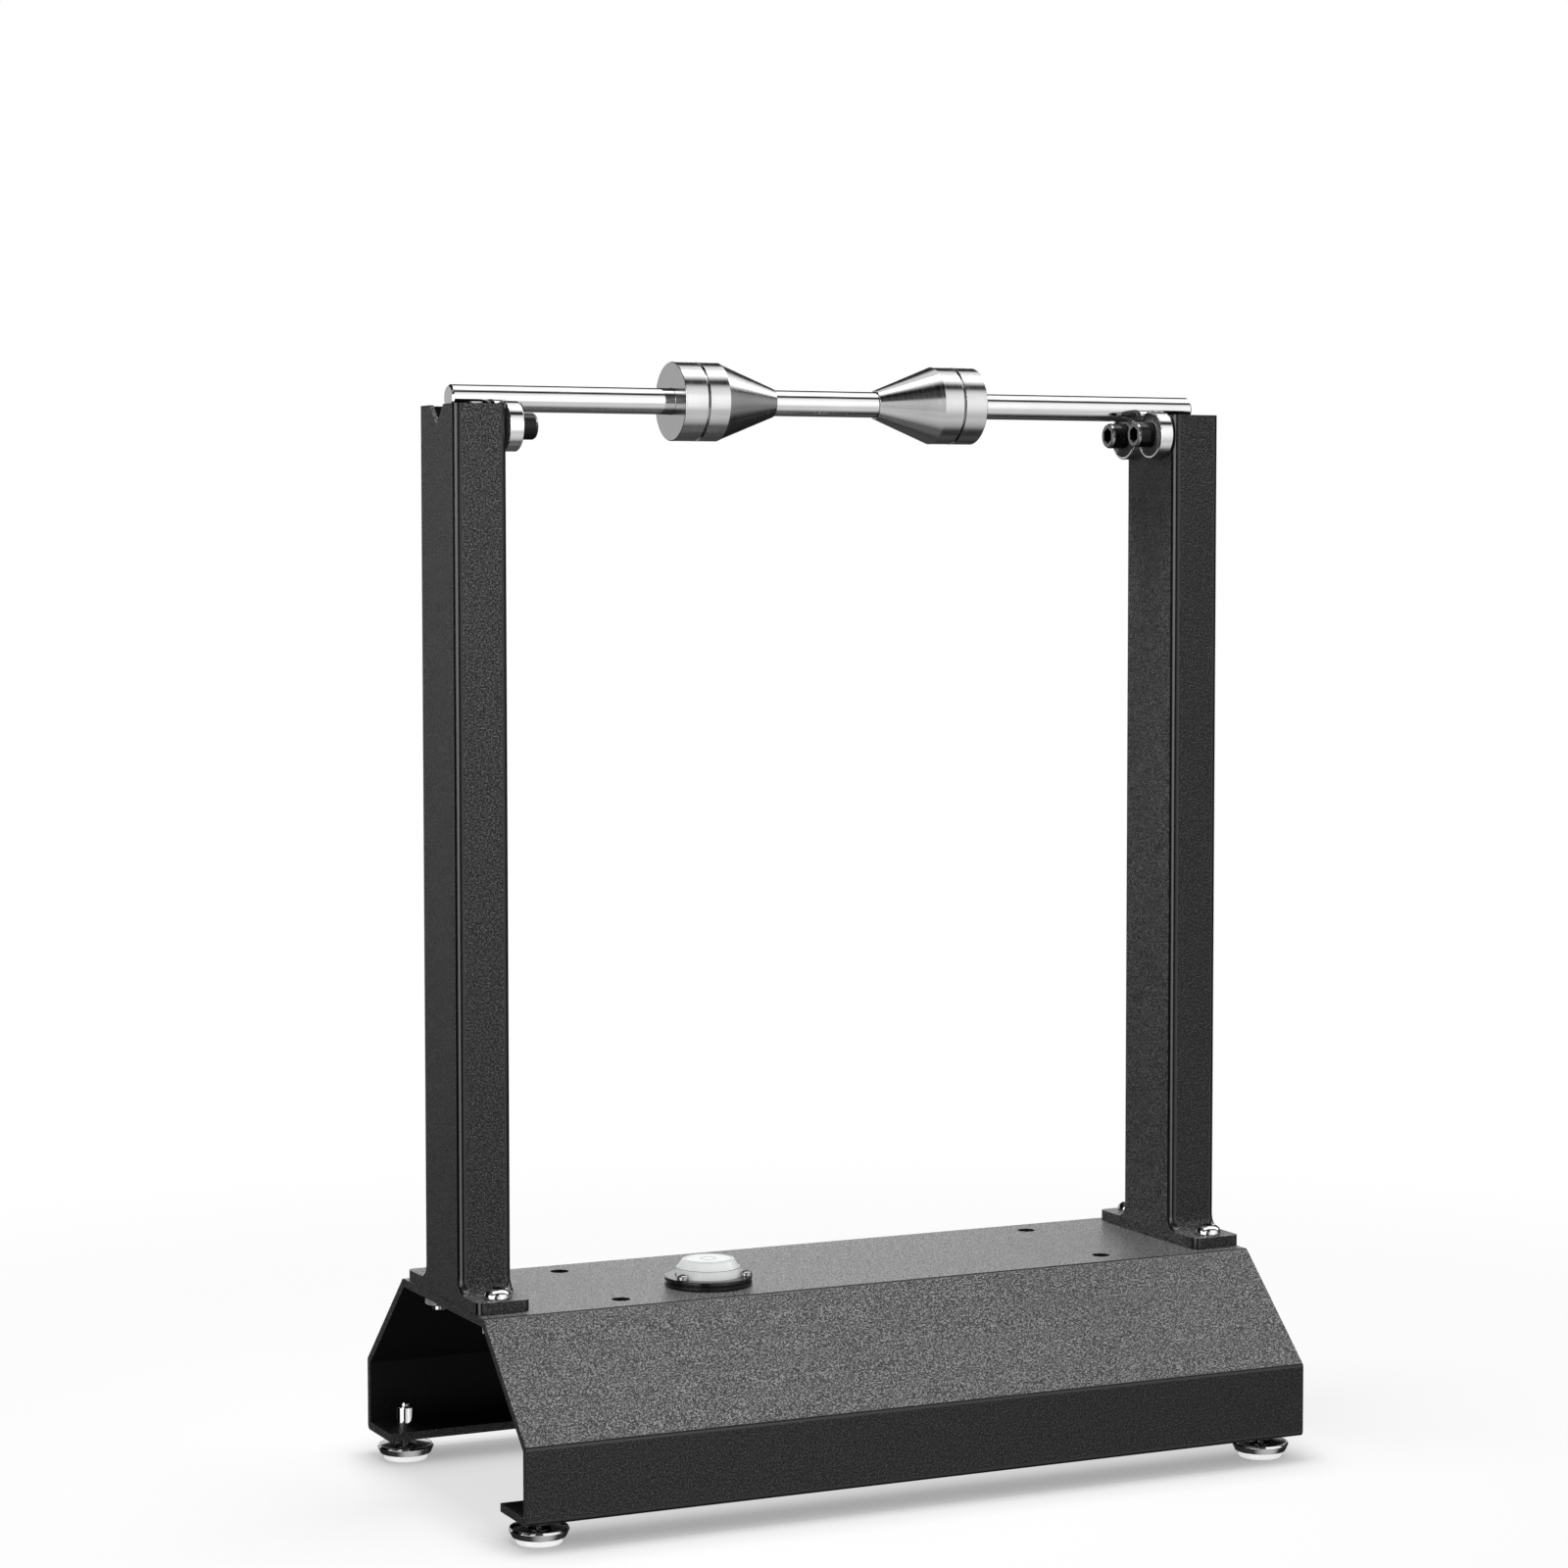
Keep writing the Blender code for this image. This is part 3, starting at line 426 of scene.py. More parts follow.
class Tree:
    """A node tree and short ways to add nodes. A value is a socket, a number or a colour."""

    def __init__(self, tree):
        self.nodes = tree.nodes
        self.links = tree.links

    def feed(self, socket, value):
        if isinstance(value, bpy.types.NodeSocket):
            self.links.new(value, socket)
        else:
            socket.default_value = value

    def math(self, operation, *values):
        node = self.nodes.new("ShaderNodeMath")
        node.operation = operation
        for socket, value in zip(node.inputs, values):
            self.feed(socket, value)
        return node.outputs["Value"]

    def mapped(self, value, low, high, to_low=0, to_high=1, change="LINEAR"):
        """Carries the span from low to high over to the one from to_low to to_high."""
        node = self.nodes.new("ShaderNodeMapRange")
        node.interpolation_type = change
        names = ("Value", "From Min", "From Max", "To Min", "To Max")
        for name, level in zip(names, (value, low, high, to_low, to_high)):
            self.feed(node.inputs[name], level)
        return node.outputs["Result"]

    def colours(self, factor, stops):
        """A colour ramp over factor. A stop is (position, colour)."""
        ramp = self.nodes.new("ShaderNodeValToRGB")
        elements = ramp.color_ramp.elements
        elements.remove(elements[1])
        elements[0].position = stops[0][0]
        for position, _ in stops[1:]:
            elements.new(position)
        for element, (_, colour) in zip(elements, stops):
            element.color = (*colour, 1)
        self.feed(ramp.inputs["Fac"], factor)
        return ramp.outputs["Color"]

    def mixed(self, way, first, second):
        """The first shader where way is 0, the second where it is 1."""
        node = self.nodes.new("ShaderNodeMixShader")
        for number, value in enumerate((way, first, second)):
            self.feed(node.inputs[number], value)
        return node.outputs["Shader"]


class Look(Tree):
    """A material and short ways to vary its shader."""

    def __init__(self, name, colour, roughness, metallic=0.0):
        self.material = bpy.data.materials.new(name)
        self.material.use_nodes = True
        LOOKS[name] = self.material
        super().__init__(self.material.node_tree)
        self.shader = self.nodes["Principled BSDF"]
        self.set("Base Color", (*colour, 1))
        self.set("Roughness", roughness)
        self.set("Metallic", metallic)
        self.coordinates = self.nodes.new("ShaderNodeTexCoord").outputs["Object"]

    def set(self, socket, value):
        self.feed(self.shader.inputs[socket], value)

    def stretched(self, scale):
        """Object coordinates scaled along each axis, for a grain that has a direction."""
        mapping = self.nodes.new("ShaderNodeMapping")
        self.feed(mapping.inputs["Scale"], scale)
        self.feed(mapping.inputs["Vector"], self.coordinates)
        return mapping.outputs["Vector"]

    def noise(self, scale, detail=2.0, roughness=0.5, source=None):
        node = self.nodes.new("ShaderNodeTexNoise")
        self.feed(node.inputs["Scale"], scale)
        self.feed(node.inputs["Detail"], detail)
        self.feed(node.inputs["Roughness"], roughness)
        self.feed(node.inputs["Vector"], source or self.coordinates)
        return node.outputs["Fac"]

    def tone(self, cloud, dark, light, low=0.3, high=0.7):
        """Base colour from dark to light as the noise goes from low to high."""
        self.set("Base Color", self.colours(cloud, [(low, dark), (high, light)]))

    def polish(self, cloud, smooth, rough, low=0.3, high=0.7):
        """Roughness from smooth to rough as the noise goes from low to high."""
        self.set("Roughness", self.mapped(cloud, low, high, smooth, rough))

    def bump(self, height, strength, distance):
        node = self.nodes.new("ShaderNodeBump")
        self.feed(node.inputs["Strength"], strength)
        self.feed(node.inputs["Distance"], distance)
        self.feed(node.inputs["Height"], height)
        self.set("Normal", node.outputs["Normal"])

    # Painted light: an emission that makes a part glow though it is no lamp
    def glow(self, strength):
        self.set("Emission Color", (1, 1, 1, 1))
        self.set("Emission Strength", strength)


# Painted light: the pads and the level's fluid glow though they are no lamps, in place of light from the
# pale floor through the pads, and through the level
PAD_PAINTED_LIGHT = 0.62
FLUID_PAINTED_LIGHT = 0.22


def grey(value, tint=0.0):
    """A grey, a little bluer as tint grows."""
    return (value, value * (1 + tint / 2), value * (1 + tint))


def powder_coat(name, specular, tones):
    """Speckled coat. Its three tones are the dark, middle and light of the speckles."""
    look = Look(name, grey(0.030, 0.03), 0.26)
    look.set("Specular IOR Level", specular)
    grain = look.noise(1300, 2, 0.55)
    stops = [(place, grey(tone)) for place, tone in zip((0.39, 0.5, 0.63), tones)]
    look.set("Base Color", look.colours(look.noise(1250, 1), stops))
    look.polish(grain, 0.20, 0.32)
    look.bump(grain, 1.0, 0.8 * MM)


def edge_coat_painted_shade():
    """Coat on the rounded corners and folds: smoother, with its colour darkened as painted shade, so that
    dark lines run beside each corner's highlight.
    """
    look = Look("edge_coat_painted_shade", grey(0.004), 0.14)
    cloud = look.noise(900)
    look.tone(cloud, grey(0.003), grey(0.008))
    look.polish(cloud, 0.10, 0.20)
    look.bump(cloud, 0.15, 0.1 * MM)


def inside_coat_painted_shade():
    """Near black matt coat on the faces that look into the channel and the tubes: painted shade for the
    shade inside them.
    """
    look = Look("inside_coat_painted_shade", grey(0.004), 0.6)
    look.set("Specular IOR Level", 0.12)
    cloud = look.noise(1300)
    look.tone(cloud, grey(0.003), grey(0.010), 0.35, 0.65)
    look.polish(cloud, 0.5, 0.7)


def bright_steel():
    """Plated steel with faint scratches along X."""
    look = Look("bright_steel", grey(0.80), 0.08, 1.0)
    smudge = look.noise(60, 3, 0.6)
    look.polish(smudge, 0.05, 0.14, 0.3, 0.75)
    look.tone(smudge, grey(0.74), grey(0.83), 0.2, 0.8)
    scratches = look.noise(900, source=look.stretched((0.02, 1, 1)))
    look.bump(scratches, 0.03, 0.05 * MM)


def turned_steel():
    """Steel from the lathe, with fine grooves round its Z axis."""
    look = Look("brushed_steel", grey(0.64), 0.2, 1.0)
    grooves = look.noise(1600, 2, 0.6, look.stretched((0.02, 0.02, 1)))
    look.polish(grooves, 0.13, 0.21)
    look.tone(look.noise(40), grey(0.58), grey(0.68), 0.25, 0.75)
    look.bump(grooves, 0.05, 0.05 * MM)


def zinc_steel():
    look = Look("zinc_steel", grey(0.30), 0.38, 1.0)
    cloud = look.noise(500, 3, 0.6)
    look.tone(cloud, grey(0.22), grey(0.36, 0.04))
    look.polish(cloud, 0.3, 0.48)
    look.bump(cloud, 0.06, 0.05 * MM)


def black_oxide():
    look = Look("black_oxide", grey(0.004), 0.16)
    look.set("Specular IOR Level", 0.2)
    cloud = look.noise(700, 3, 0.6)
    look.tone(cloud, grey(0.003), grey(0.006))
    look.polish(cloud, 0.12, 0.22)
    look.bump(cloud, 0.04, 0.03 * MM)


def dull_steel_and_painted_highlight():
    """Dull steel for the level's screws, and lighter steel as a painted highlight on the chamfered rim of
    each cap screw's black head.
    """
    look = Look("dull_steel_and_painted_highlight", grey(0.36), 0.24, 1.0)
    cloud = look.noise(900, 3, 0.6)
    look.tone(cloud, grey(0.28), grey(0.42))
    look.polish(cloud, 0.18, 0.32)


# Chrome darkened as painted shade, for the top of each foot's disc under the sheet
def chrome_painted_shade():
    look = Look("chrome_painted_shade", grey(0.12), 0.12, 1.0)
    cloud = look.noise(400)
    look.tone(cloud, grey(0.09), grey(0.15))
    look.polish(cloud, 0.08, 0.18)


def seal_rubber():
    look = Look("seal", grey(0.045), 0.6)
    grain = look.noise(3000, 2, 0.6)
    look.tone(grain, grey(0.02), grey(0.09), 0.35, 0.65)
    look.polish(grain, 0.5, 0.75)
    look.bump(grain, 0.3, 0.06 * MM)


def nylon():
    look = Look("nylon", grey(0.88), 0.42)
    look.set("Subsurface Weight", 0.25)
    look.set("Subsurface Radius", (1, 1, 1))
    look.set("Subsurface Scale", 1.2 * MM)
    look.glow(PAD_PAINTED_LIGHT)
    look.tone(look.noise(200), grey(0.85), grey(0.91))
    look.bump(look.noise(1800), 0.08, 0.05 * MM)


def black_plastic():
    look = Look("black_plastic", grey(0.010), 0.16)
    look.set("Specular IOR Level", 0.35)
    cloud = look.noise(300)
    look.polish(cloud, 0.13, 0.22)
    look.tone(cloud, grey(0.007), grey(0.013))
    look.bump(look.noise(1200), 0.03, 0.04 * MM)


def clear_plastic():
    look = Look("clear_plastic", (0.96, 0.97, 0.97), 0.05)
    look.set("Transmission Weight", 1.0)
    look.set("IOR", 1.3)
    haze = look.noise(90)
    look.polish(haze, 0.02, 0.07)
    look.tone(haze, (0.95, 0.96, 0.96), (0.98, 0.985, 0.985))


def vial_fluid():
    look = Look("vial_fluid", (0.86, 0.87, 0.87), 0.35)
    look.glow(FLUID_PAINTED_LIGHT)
    look.tone(look.noise(120), (0.84, 0.85, 0.85), (0.90, 0.905, 0.905))


# Grey ink for the target ring, and painted shade as the dark outlines at the vial's rim and shoulder
def ink_and_painted_outline():
    look = Look("ink_and_painted_outline", grey(0.16), 0.5)
    look.tone(look.noise(2000), grey(0.12), grey(0.2))


def make_looks():
    powder_coat("powder_coat", 0.5, (0.006, 0.028, 0.11))
    # Darker, less shiny copy of the coat: painted shade on the base's walls and ends and on the right post
    powder_coat("matt_coat_painted_shade", 0.32, (0.006, 0.024, 0.09))
    # Still darker copy of the coat: painted shade on the weld fillet between each post and its foot plate
    powder_coat("weld_coat_painted_shade", 0.25, (0.004, 0.012, 0.05))
    for finish in (
        edge_coat_painted_shade, inside_coat_painted_shade, bright_steel, turned_steel, zinc_steel, black_oxide, dull_steel_and_painted_highlight,
        chrome_painted_shade, seal_rubber, nylon, black_plastic, clear_plastic, vial_fluid, ink_and_painted_outline,
    ):
        finish()


def middle_of(node):
    low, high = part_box(node)
    return (low + high) / 2


def folded_sheet(corners):
    """Outline of a sheet folded at each corner of its outer face."""
    corners = [Vector(corner) for corner in corners]
    sides = [(b - a).normalized() for a, b in zip(corners, corners[1:])]
    inward = [Vector((side.y, -side.x)) for side in sides]
    outside = [corners[0]]
    inside = [corners[0] + SHEET * inward[0]]
    for corner, before, after in zip(corners[1:-1], inward, inward[1:]):
        start = math.atan2(-before.y, -before.x)
        sweep = before.angle(after)
        for depth, radius, points in (
            (BEND_OUTSIDE, BEND_OUTSIDE, outside), (SHEET + BEND_INSIDE, BEND_INSIDE, inside),
        ):
            centre = corner + depth * (before + after) / (1 + before.dot(after))
            for step in range(BEND_STEPS + 1):
                turn = start - sweep * step / BEND_STEPS
                points.append(centre + radius * Vector((math.cos(turn), math.sin(turn))))
    outside.append(corners[-1])
    inside.append(corners[-1] + SHEET * inward[-1])
    return outside + inside[::-1]


def make_base():
    low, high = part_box("base_channel")
    top_half_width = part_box("left_post")[1].y + TOP_EDGE_MARGIN
    left = [
        (low.y + FLANGE_WIDTH, low.z),
        (low.y, low.z),
        (low.y, low.z + SIDE_WALL_HEIGHT),
        (-top_half_width, high.z),
    ]
    right = [(-y, z) for y, z in reversed(left)]
    mesh = prism("base_skin", folded_sheet(left + right), low.x, high.x, "X")
    top = (high.z - SHEET - OVERRUN, high.z + OVERRUN)
    flange = (low.z - OVERRUN, low.z + SHEET + OVERRUN)
    holes = []
    for corner, end in CORNERS:
        bolt = middle_of(f"{corner}_post_bolt")
        foot = middle_of(f"{corner}_foot_insert")
        holes.append((BOLT_HOLE_RADIUS, bolt.xy, top))
        holes.append((BOLT_HOLE_RADIUS, (bolt.x - end * SPARE_POST_INSET, bolt.y), top))
        holes.append((INSERT_RADIUS + BORE_CLEARANCE, foot.xy, flange))
    for number in LEVEL_SCREWS:
        holes.append((LEVEL_SCREW_HOLE_RADIUS, middle_of(f"level_screw_{number}").xy, top))
    for radius, centre, levels in holes:
        mesh = drilled(mesh, radius, centre, *levels)
    base = part("base_skin", mesh, "powder_coat", "stand", replaced=["base_channel"], bevel=SOFT_EDGE)
    middle_z = (low.z + high.z) / 2
    slope = Vector((high.z - low.z - SIDE_WALL_HEIGHT, -low.y - top_half_width)).normalized()
    flats = (Vector((0, 1)), slope, Vector((1, 0)), Vector((0, -1)))

    def square_on(_, normal):
        return max(abs(normal.x), abs(normal.y)) > SQUARE_TO_AXIS

    def on_fold(_, normal):
        leaning = Vector((abs(normal.y), normal.z))
        return abs(normal.x) < ACROSS_AXIS and max(leaning.dot(flat) for flat in flats) < ON_A_FLAT

    def looks_in(centre, normal):
        if abs(normal.x) > FACES_AXIS and centre.z < high.z - SHEET:
            return False
        if abs(normal.z) < UPRIGHT and centre.z > high.z - SHEET:
            return abs(centre.y) < top_half_width - SHEET and abs(centre.x) < high.x - SHEET
        towards = centre.y * normal.y + (centre.z - middle_z) * normal.z
        return towards < 0 and centre.z > low.z + INSIDE_OVER

    # Painted shade: faces square to X or Y, the walls and ends, get the darker copy of the coat
    refinish(base, "matt_coat_painted_shade", square_on)
    # Painted shade: the folds of the sheet get the darker edge coat
    refinish(base, "edge_coat_painted_shade", on_fold)
    # Painted shade: faces inside the channel get the near black inside coat
    refinish(base, "inside_coat_painted_shade", looks_in)


def post_mesh():
    """Post and foot plate about the post's middle, with the bearing wall on the -X side."""
    low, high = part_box("left_post")
    size = high - low
    bearing = middle_of("left_front_bearing_screw")
    bolt_y = abs(middle_of("left_front_post_bolt").y)
    half_depth = bolt_y - BOLT_FROM_POST
    levels = [(WELD_RADIUS, PLATE_THICKNESS / 2)]
    for step in range(WELD_STEPS + 1):
        turn = QUARTER * (1 - step / WELD_STEPS)
        reach = WELD_RADIUS * (1 - math.cos(turn))
        levels.append((reach, PLATE_THICKNESS + WELD_RADIUS * (1 - math.sin(turn))))
    levels.append((0, size.z))
    rings = []
    for reach, height in levels:
        outline = rounded_rectangle(size.x, 2 * (half_depth + reach), POST_CORNER)
        rings.append([(x, y, height) for x, y in outline])
    plate = prism("plate", rounded_rectangle(size.x, size.y, POST_CORNER), 0, PLATE_THICKNESS)
    body = combined(plate, lofted("tube", rings), "UNION")
    bore = rounded_rectangle(size.x - 2 * POST_WALL, 2 * (half_depth - POST_WALL), POST_INNER_CORNER)
    body = combined(body, prism("bore", bore, PLATE_THICKNESS, size.z + OVERRUN))
    apex = middle_of("shaft").z - low.z - NOTCH_BELOW_SHAFT
    rise = size.z + OVERRUN - apex
    notch = rounded([(0, apex, NOTCH_ROUNDING), (rise, apex + rise), (-rise, apex + rise)])
    half = size.x / 2 + OVERRUN
    body = combined(body, prism("notch", notch, -half, half, "X"))
    for side in (-1, 1):
        centre = (side * abs(bearing.y), bearing.z - low.z)
        body = drilled(body, BEARING_HOLE_RADIUS, centre, -half, POST_WALL + OVERRUN - size.x / 2, "X")
        body = drilled(body, BOLT_HOLE_RADIUS, (0, side * bolt_y), -OVERRUN, PLATE_THICKNESS + OVERRUN)
    return body


def make_posts():
    mesh = post_mesh()
    # Painted shade: the right post gets the darker copy of the coat
    for name, turn, finish in (("left", math.pi, "powder_coat"), ("right", 0, "matt_coat_painted_shade")):
        low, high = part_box(f"{name}_post")
        place = ((low.x + high.x) / 2, 0, low.z)
        post = part(
            f"{name}_post_skin", mesh, finish, "stand", place, (0, 0, turn),
            [f"{name}_post"], bevel=SOFT_EDGE,
        )
        # Painted shade: the weld fillet's faces get the darkest copy of the coat
        refinish(post, "weld_coat_painted_shade", lambda _, normal: (
            WELD_LEAST < normal.z < WELD_MOST and abs(normal.x) < ACROSS_AXIS
        ))
        # Painted shade: the rounded vertical corners get the darker edge coat
        refinish(post, "edge_coat_painted_shade", lambda _, normal: (
            abs(normal.z) < CORNER_TILT
            and min(abs(normal.x), abs(normal.y)) > CORNER_LEAST * normal.xy.length
        ))
        # Painted shade: faces inside the tube get the near black inside coat
        refinish(post, "inside_coat_painted_shade", lambda centre, normal: (
            abs(normal.z) < FACES_AXIS and centre.x * normal.x + centre.y * normal.y < 0
        ))


def button_head_mesh():
    """Button head bolt, z = 0 at its head's underside, and the height of its seat."""
    low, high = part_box("left_front_post_bolt")
    radius = (high.x - low.x) / 2
    seat = high.z - HEAD_HEIGHT
    end = low.z - seat + SHANK_END_INSET
    outline = [(0, end), (SHANK_RADIUS, end), (SHANK_RADIUS, 0)]
    outline += [(radius - HEAD_FOOT_EDGE, 0), (radius, HEAD_FOOT_EDGE)]
    for step in range(HEAD_STEPS + 1):
        turn = QUARTER * step / HEAD_STEPS
        across = HEAD_FLAT_RADIUS + (radius - HEAD_FLAT_RADIUS) * math.cos(turn)
        outline.append((across, HEAD_RIM + (HEAD_HEIGHT - HEAD_RIM) * math.sin(turn)))
    outline.append((0, HEAD_HEIGHT))
    mesh = turned("button_head", outline, MEDIUM_TURN)
    return socketed(mesh, HEAD_SOCKET_WIDTH, HEAD_SOCKET_DEPTH, HEAD_HEIGHT), seat


def nut_mesh(height):
    """Hexagon nut down from z = 0, chamfered at both faces."""
    face = NUT_WIDTH / 2 * NUT_FACE_SHARE
    waist = NUT_WIDTH / math.sqrt(3) + OVERRUN
    fall = (waist - face) * math.tan(NUT_CHAMFER_ANGLE)
    bore = NUT_BORE_RADIUS
    mouth = bore + NUT_BORE_CHAMFER
    outline = [
        (bore, NUT_BORE_CHAMFER - height), (mouth, -height), (face, -height),
        (waist, fall - height), (waist, -fall), (face, 0), (mouth, 0), (bore, -NUT_BORE_CHAMFER),
    ]
    barrel = turned("nut", outline, MEDIUM_TURN)
    sides = prism("sides", hexagon(NUT_WIDTH), -height - OVERRUN, OVERRUN)
    return combined(barrel, sides, "INTERSECT")


def bolt_tip_mesh(start, end):
    """Threaded end of a post bolt, pointing down out of its nut."""
    start += BOLT_TIP_IN_NUT
    mesh = threaded("bolt_tip", BOLT_TIP_RADIUS, BOLT_THREAD_PITCH, 0, start - end)
    mesh.transform(Matrix.Rotation(math.pi, 4, "X"))
    mesh.transform(Matrix.Translation((0, 0, start)))
    return mesh


def make_post_fasteners():
    head, seat = button_head_mesh()
    low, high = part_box("left_front_post_nut")
    nut = nut_mesh(high.z - low.z)
    tip = bolt_tip_mesh(low.z - seat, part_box("left_front_post_bolt")[0].z - seat)
    for corner, _ in CORNERS:
        node = f"{corner}_post_bolt"
        bolt = middle_of(node)
        place = (bolt.x, bolt.y, seat)
        part(f"{corner}_button_head", head, "bright_steel", "stand", place, replaced=[node])
        part(f"{corner}_bolt_thread", tip, "bright_steel", "stand", place)
        place = (bolt.x, bolt.y, high.z)
        part(f"{corner}_hex_nut", nut, "zinc_steel", "stand", place, replaced=[f"{corner}_post_nut"])


def foot_disc_mesh():
    """Disc with a bright bevelled rim and a hexagon, about the stud's axis. z = 0 is the floor."""
    low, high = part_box("left_front_levelling_foot")
    radius = (high.x - low.x) / 2
    rim = radius - DISC_BEVEL_SHARE * DISC_BEVEL
    recess = low.z + DISC_RECESS_DEPTH
    top = low.z + DISC_HEIGHT
    hex_top = top + HEX_HEIGHT
    outline = rounded([
        (0, recess),
        (DISC_RECESS_RADIUS, recess, FINE_EDGE),
        (DISC_RECESS_MOUTH, low.z, FINE_EDGE),
        (DISC_LOWER_RADIUS, low.z, FINE_EDGE),
        (radius, top - DISC_BEVEL, FINE_EDGE),
        (rim, top, SOFT_EDGE),
        (rim - RIM_WIDTH, top - RIM_STEP, FINE_EDGE),
        (HEX_WIDTH / 2 + HEX_MARGIN, top + DISC_RISE, FINE_EDGE),
        (0, top + DISC_RISE),
    ])
    disc = turned("foot_disc", outline, FINE_TURN)
    barrel = [
        (0, top - OVERRUN), (HEX_BARREL_RADIUS, top - OVERRUN), (HEX_BARREL_RADIUS, hex_top - HEX_CHAMFER),
        (HEX_WIDTH / 2 * HEX_FACE_SHARE, hex_top), (0, hex_top),
    ]
    sides = prism("sides", hexagon(HEX_WIDTH), top - 2 * OVERRUN, hex_top + OVERRUN)
    head = combined(turned("hexagon", barrel, MEDIUM_TURN), sides, "INTERSECT")
    return combined(disc, head, "UNION"), hex_top, high.z


def foot_pad_mesh():
    low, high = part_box("left_front_foot_pad")
    radius = (high.x - low.x) / 2
    outline = rounded([
        (0, low.z),
        (radius - PAD_EDGE_WIDTH, low.z, SOFT_EDGE),
        (radius, low.z + PAD_EDGE_HEIGHT, SOFT_EDGE),
        (radius - PAD_TAPER, PAD_HEIGHT, FINE_EDGE),
        (PAD_SPIGOT_RADIUS, PAD_HEIGHT),
        (PAD_SPIGOT_RADIUS, high.z),
        (0, high.z),
    ])
    return turned("foot_pad_skin", outline, FINE_TURN)


def insert_mesh():
    """Threaded insert: thin head under the sheet, straight barrel, bevelled upper end."""
    low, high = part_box("left_front_foot_insert")
    bore = STUD_RADIUS + STUD_CLEARANCE
    head = (high.x - low.x) / 2
    outline = rounded([
        (bore, low.z, FINE_EDGE),
        (head, low.z, FINE_EDGE),
        (head, low.z + INSERT_HEAD_THICKNESS, FINE_EDGE),
        (INSERT_RADIUS, low.z + INSERT_HEAD_THICKNESS),
        (INSERT_RADIUS, high.z - INSERT_BEVEL, FINE_EDGE),
        (INSERT_RADIUS - INSERT_BEVEL, high.z, FINE_EDGE),
        (bore + INSERT_MOUTH_WIDTH, high.z, FINE_EDGE),
        (bore, high.z - INSERT_MOUTH_DEPTH),
    ])
    return turned("insert_skin", outline, MEDIUM_TURN)


def make_feet():
    disc, hex_top, stud_top = foot_disc_mesh()
    pad = foot_pad_mesh()
    insert = insert_mesh()
    stud = threaded("stud", STUD_RADIUS, STUD_PITCH, hex_top - OVERRUN, stud_top)
    for corner, _ in CORNERS:
        node = f"{corner}_levelling_foot"
        axis = middle_of(node)
        place = (axis.x, axis.y, 0)
        body = f"{corner}_foot"
        foot = part(f"{corner}_foot_disc", disc, "bright_steel", body, place, replaced=[node])
        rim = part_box(node)[1].x - axis.x - DISC_BEVEL_SHARE * DISC_BEVEL - RIM_WIDTH / 2
        # Painted shade: the disc's top inside its rim, hexagon included, gets the darkened chrome
        refinish(foot, "chrome_painted_shade", lambda centre, _: (
            centre.z > hex_top - HEX_HEIGHT - SOFT_EDGE and math.hypot(centre.x, centre.y) < rim
        ))
        part(f"{corner}_foot_stud", stud, "bright_steel", body, place)
        part(f"{corner}_pad_skin", pad, "nylon", body, place, replaced=[f"{corner}_foot_pad"])
        node = f"{corner}_foot_insert"
        part(f"{corner}_insert_skin", insert, "bright_steel", "stand", place, replaced=[node])


def bearing_meshes():
    """Ring, seal pack and cap screw about +Z, z = 0 at the post's inner face."""
    low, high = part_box("left_front_bearing_outer_ring")
    post_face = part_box("left_post")[1].x
    radius = (high.y - low.y) / 2
    start = low.x - post_face
    end = high.x - post_face
    rim = radius - RING_RIM
    groove = rim + RING_GROOVE_DEPTH
    ring = rounded([
        (rim, start, FINE_EDGE), (radius, start, RING_EDGE),
        (radius, end, RING_EDGE), (rim, end, FINE_EDGE),
        (rim, end - RING_LAND), (groove, end - RING_GROOVE_START),
        (groove, start + RING_GROOVE_START), (rim, start + RING_LAND),
    ])
    top = end - SEAL_RECESS
    bottom = start + SEAL_RECESS
    sunk = top - SEAL_LIP
    inner = INNER_RING_RADIUS
    outer = rim - SEAL_OUTER_GAP
    seal = rounded([
        (inner + SEAL_INNER_GAP, bottom), (outer, bottom), (outer, top, FINE_EDGE),
        (rim - SEAL_LIP_START, top, FINE_EDGE), (rim - SEAL_LIP_END, sunk, FINE_EDGE),
        (inner + SEAL_LIP_END, sunk, FINE_EDGE), (inner + SEAL_LIP_START, top, FINE_EDGE),
        (inner + SEAL_INNER_GAP, top, FINE_EDGE),
    ])
    low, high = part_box("left_front_bearing_screw")
    cap_radius = (high.y - low.y) / 2
    cap_start = end + CAP_GAP
    cap_end = high.x - post_face
    tip = low.x - post_face
    cap = rounded([
        (0, tip), (CAP_TIP_RADIUS, tip, FINE_EDGE), (CAP_SHANK_RADIUS, tip + CAP_TIP_LENGTH),
        (CAP_SHANK_RADIUS, cap_start), (cap_radius, cap_start, FINE_EDGE),
        (cap_radius, cap_end - CAP_CHAMFER, SOFT_EDGE),
        (cap_radius - CAP_CHAMFER_SHARE * CAP_CHAMFER, cap_end, SOFT_EDGE), (0, cap_end),
    ])
    screw = socketed(turned("cap_screw", cap, MEDIUM_TURN), CAP_SOCKET_WIDTH, CAP_SOCKET_DEPTH, cap_end)
    return turned("ring_skin", ring, FINE_TURN), turned("seal_skin", seal, FINE_TURN), screw


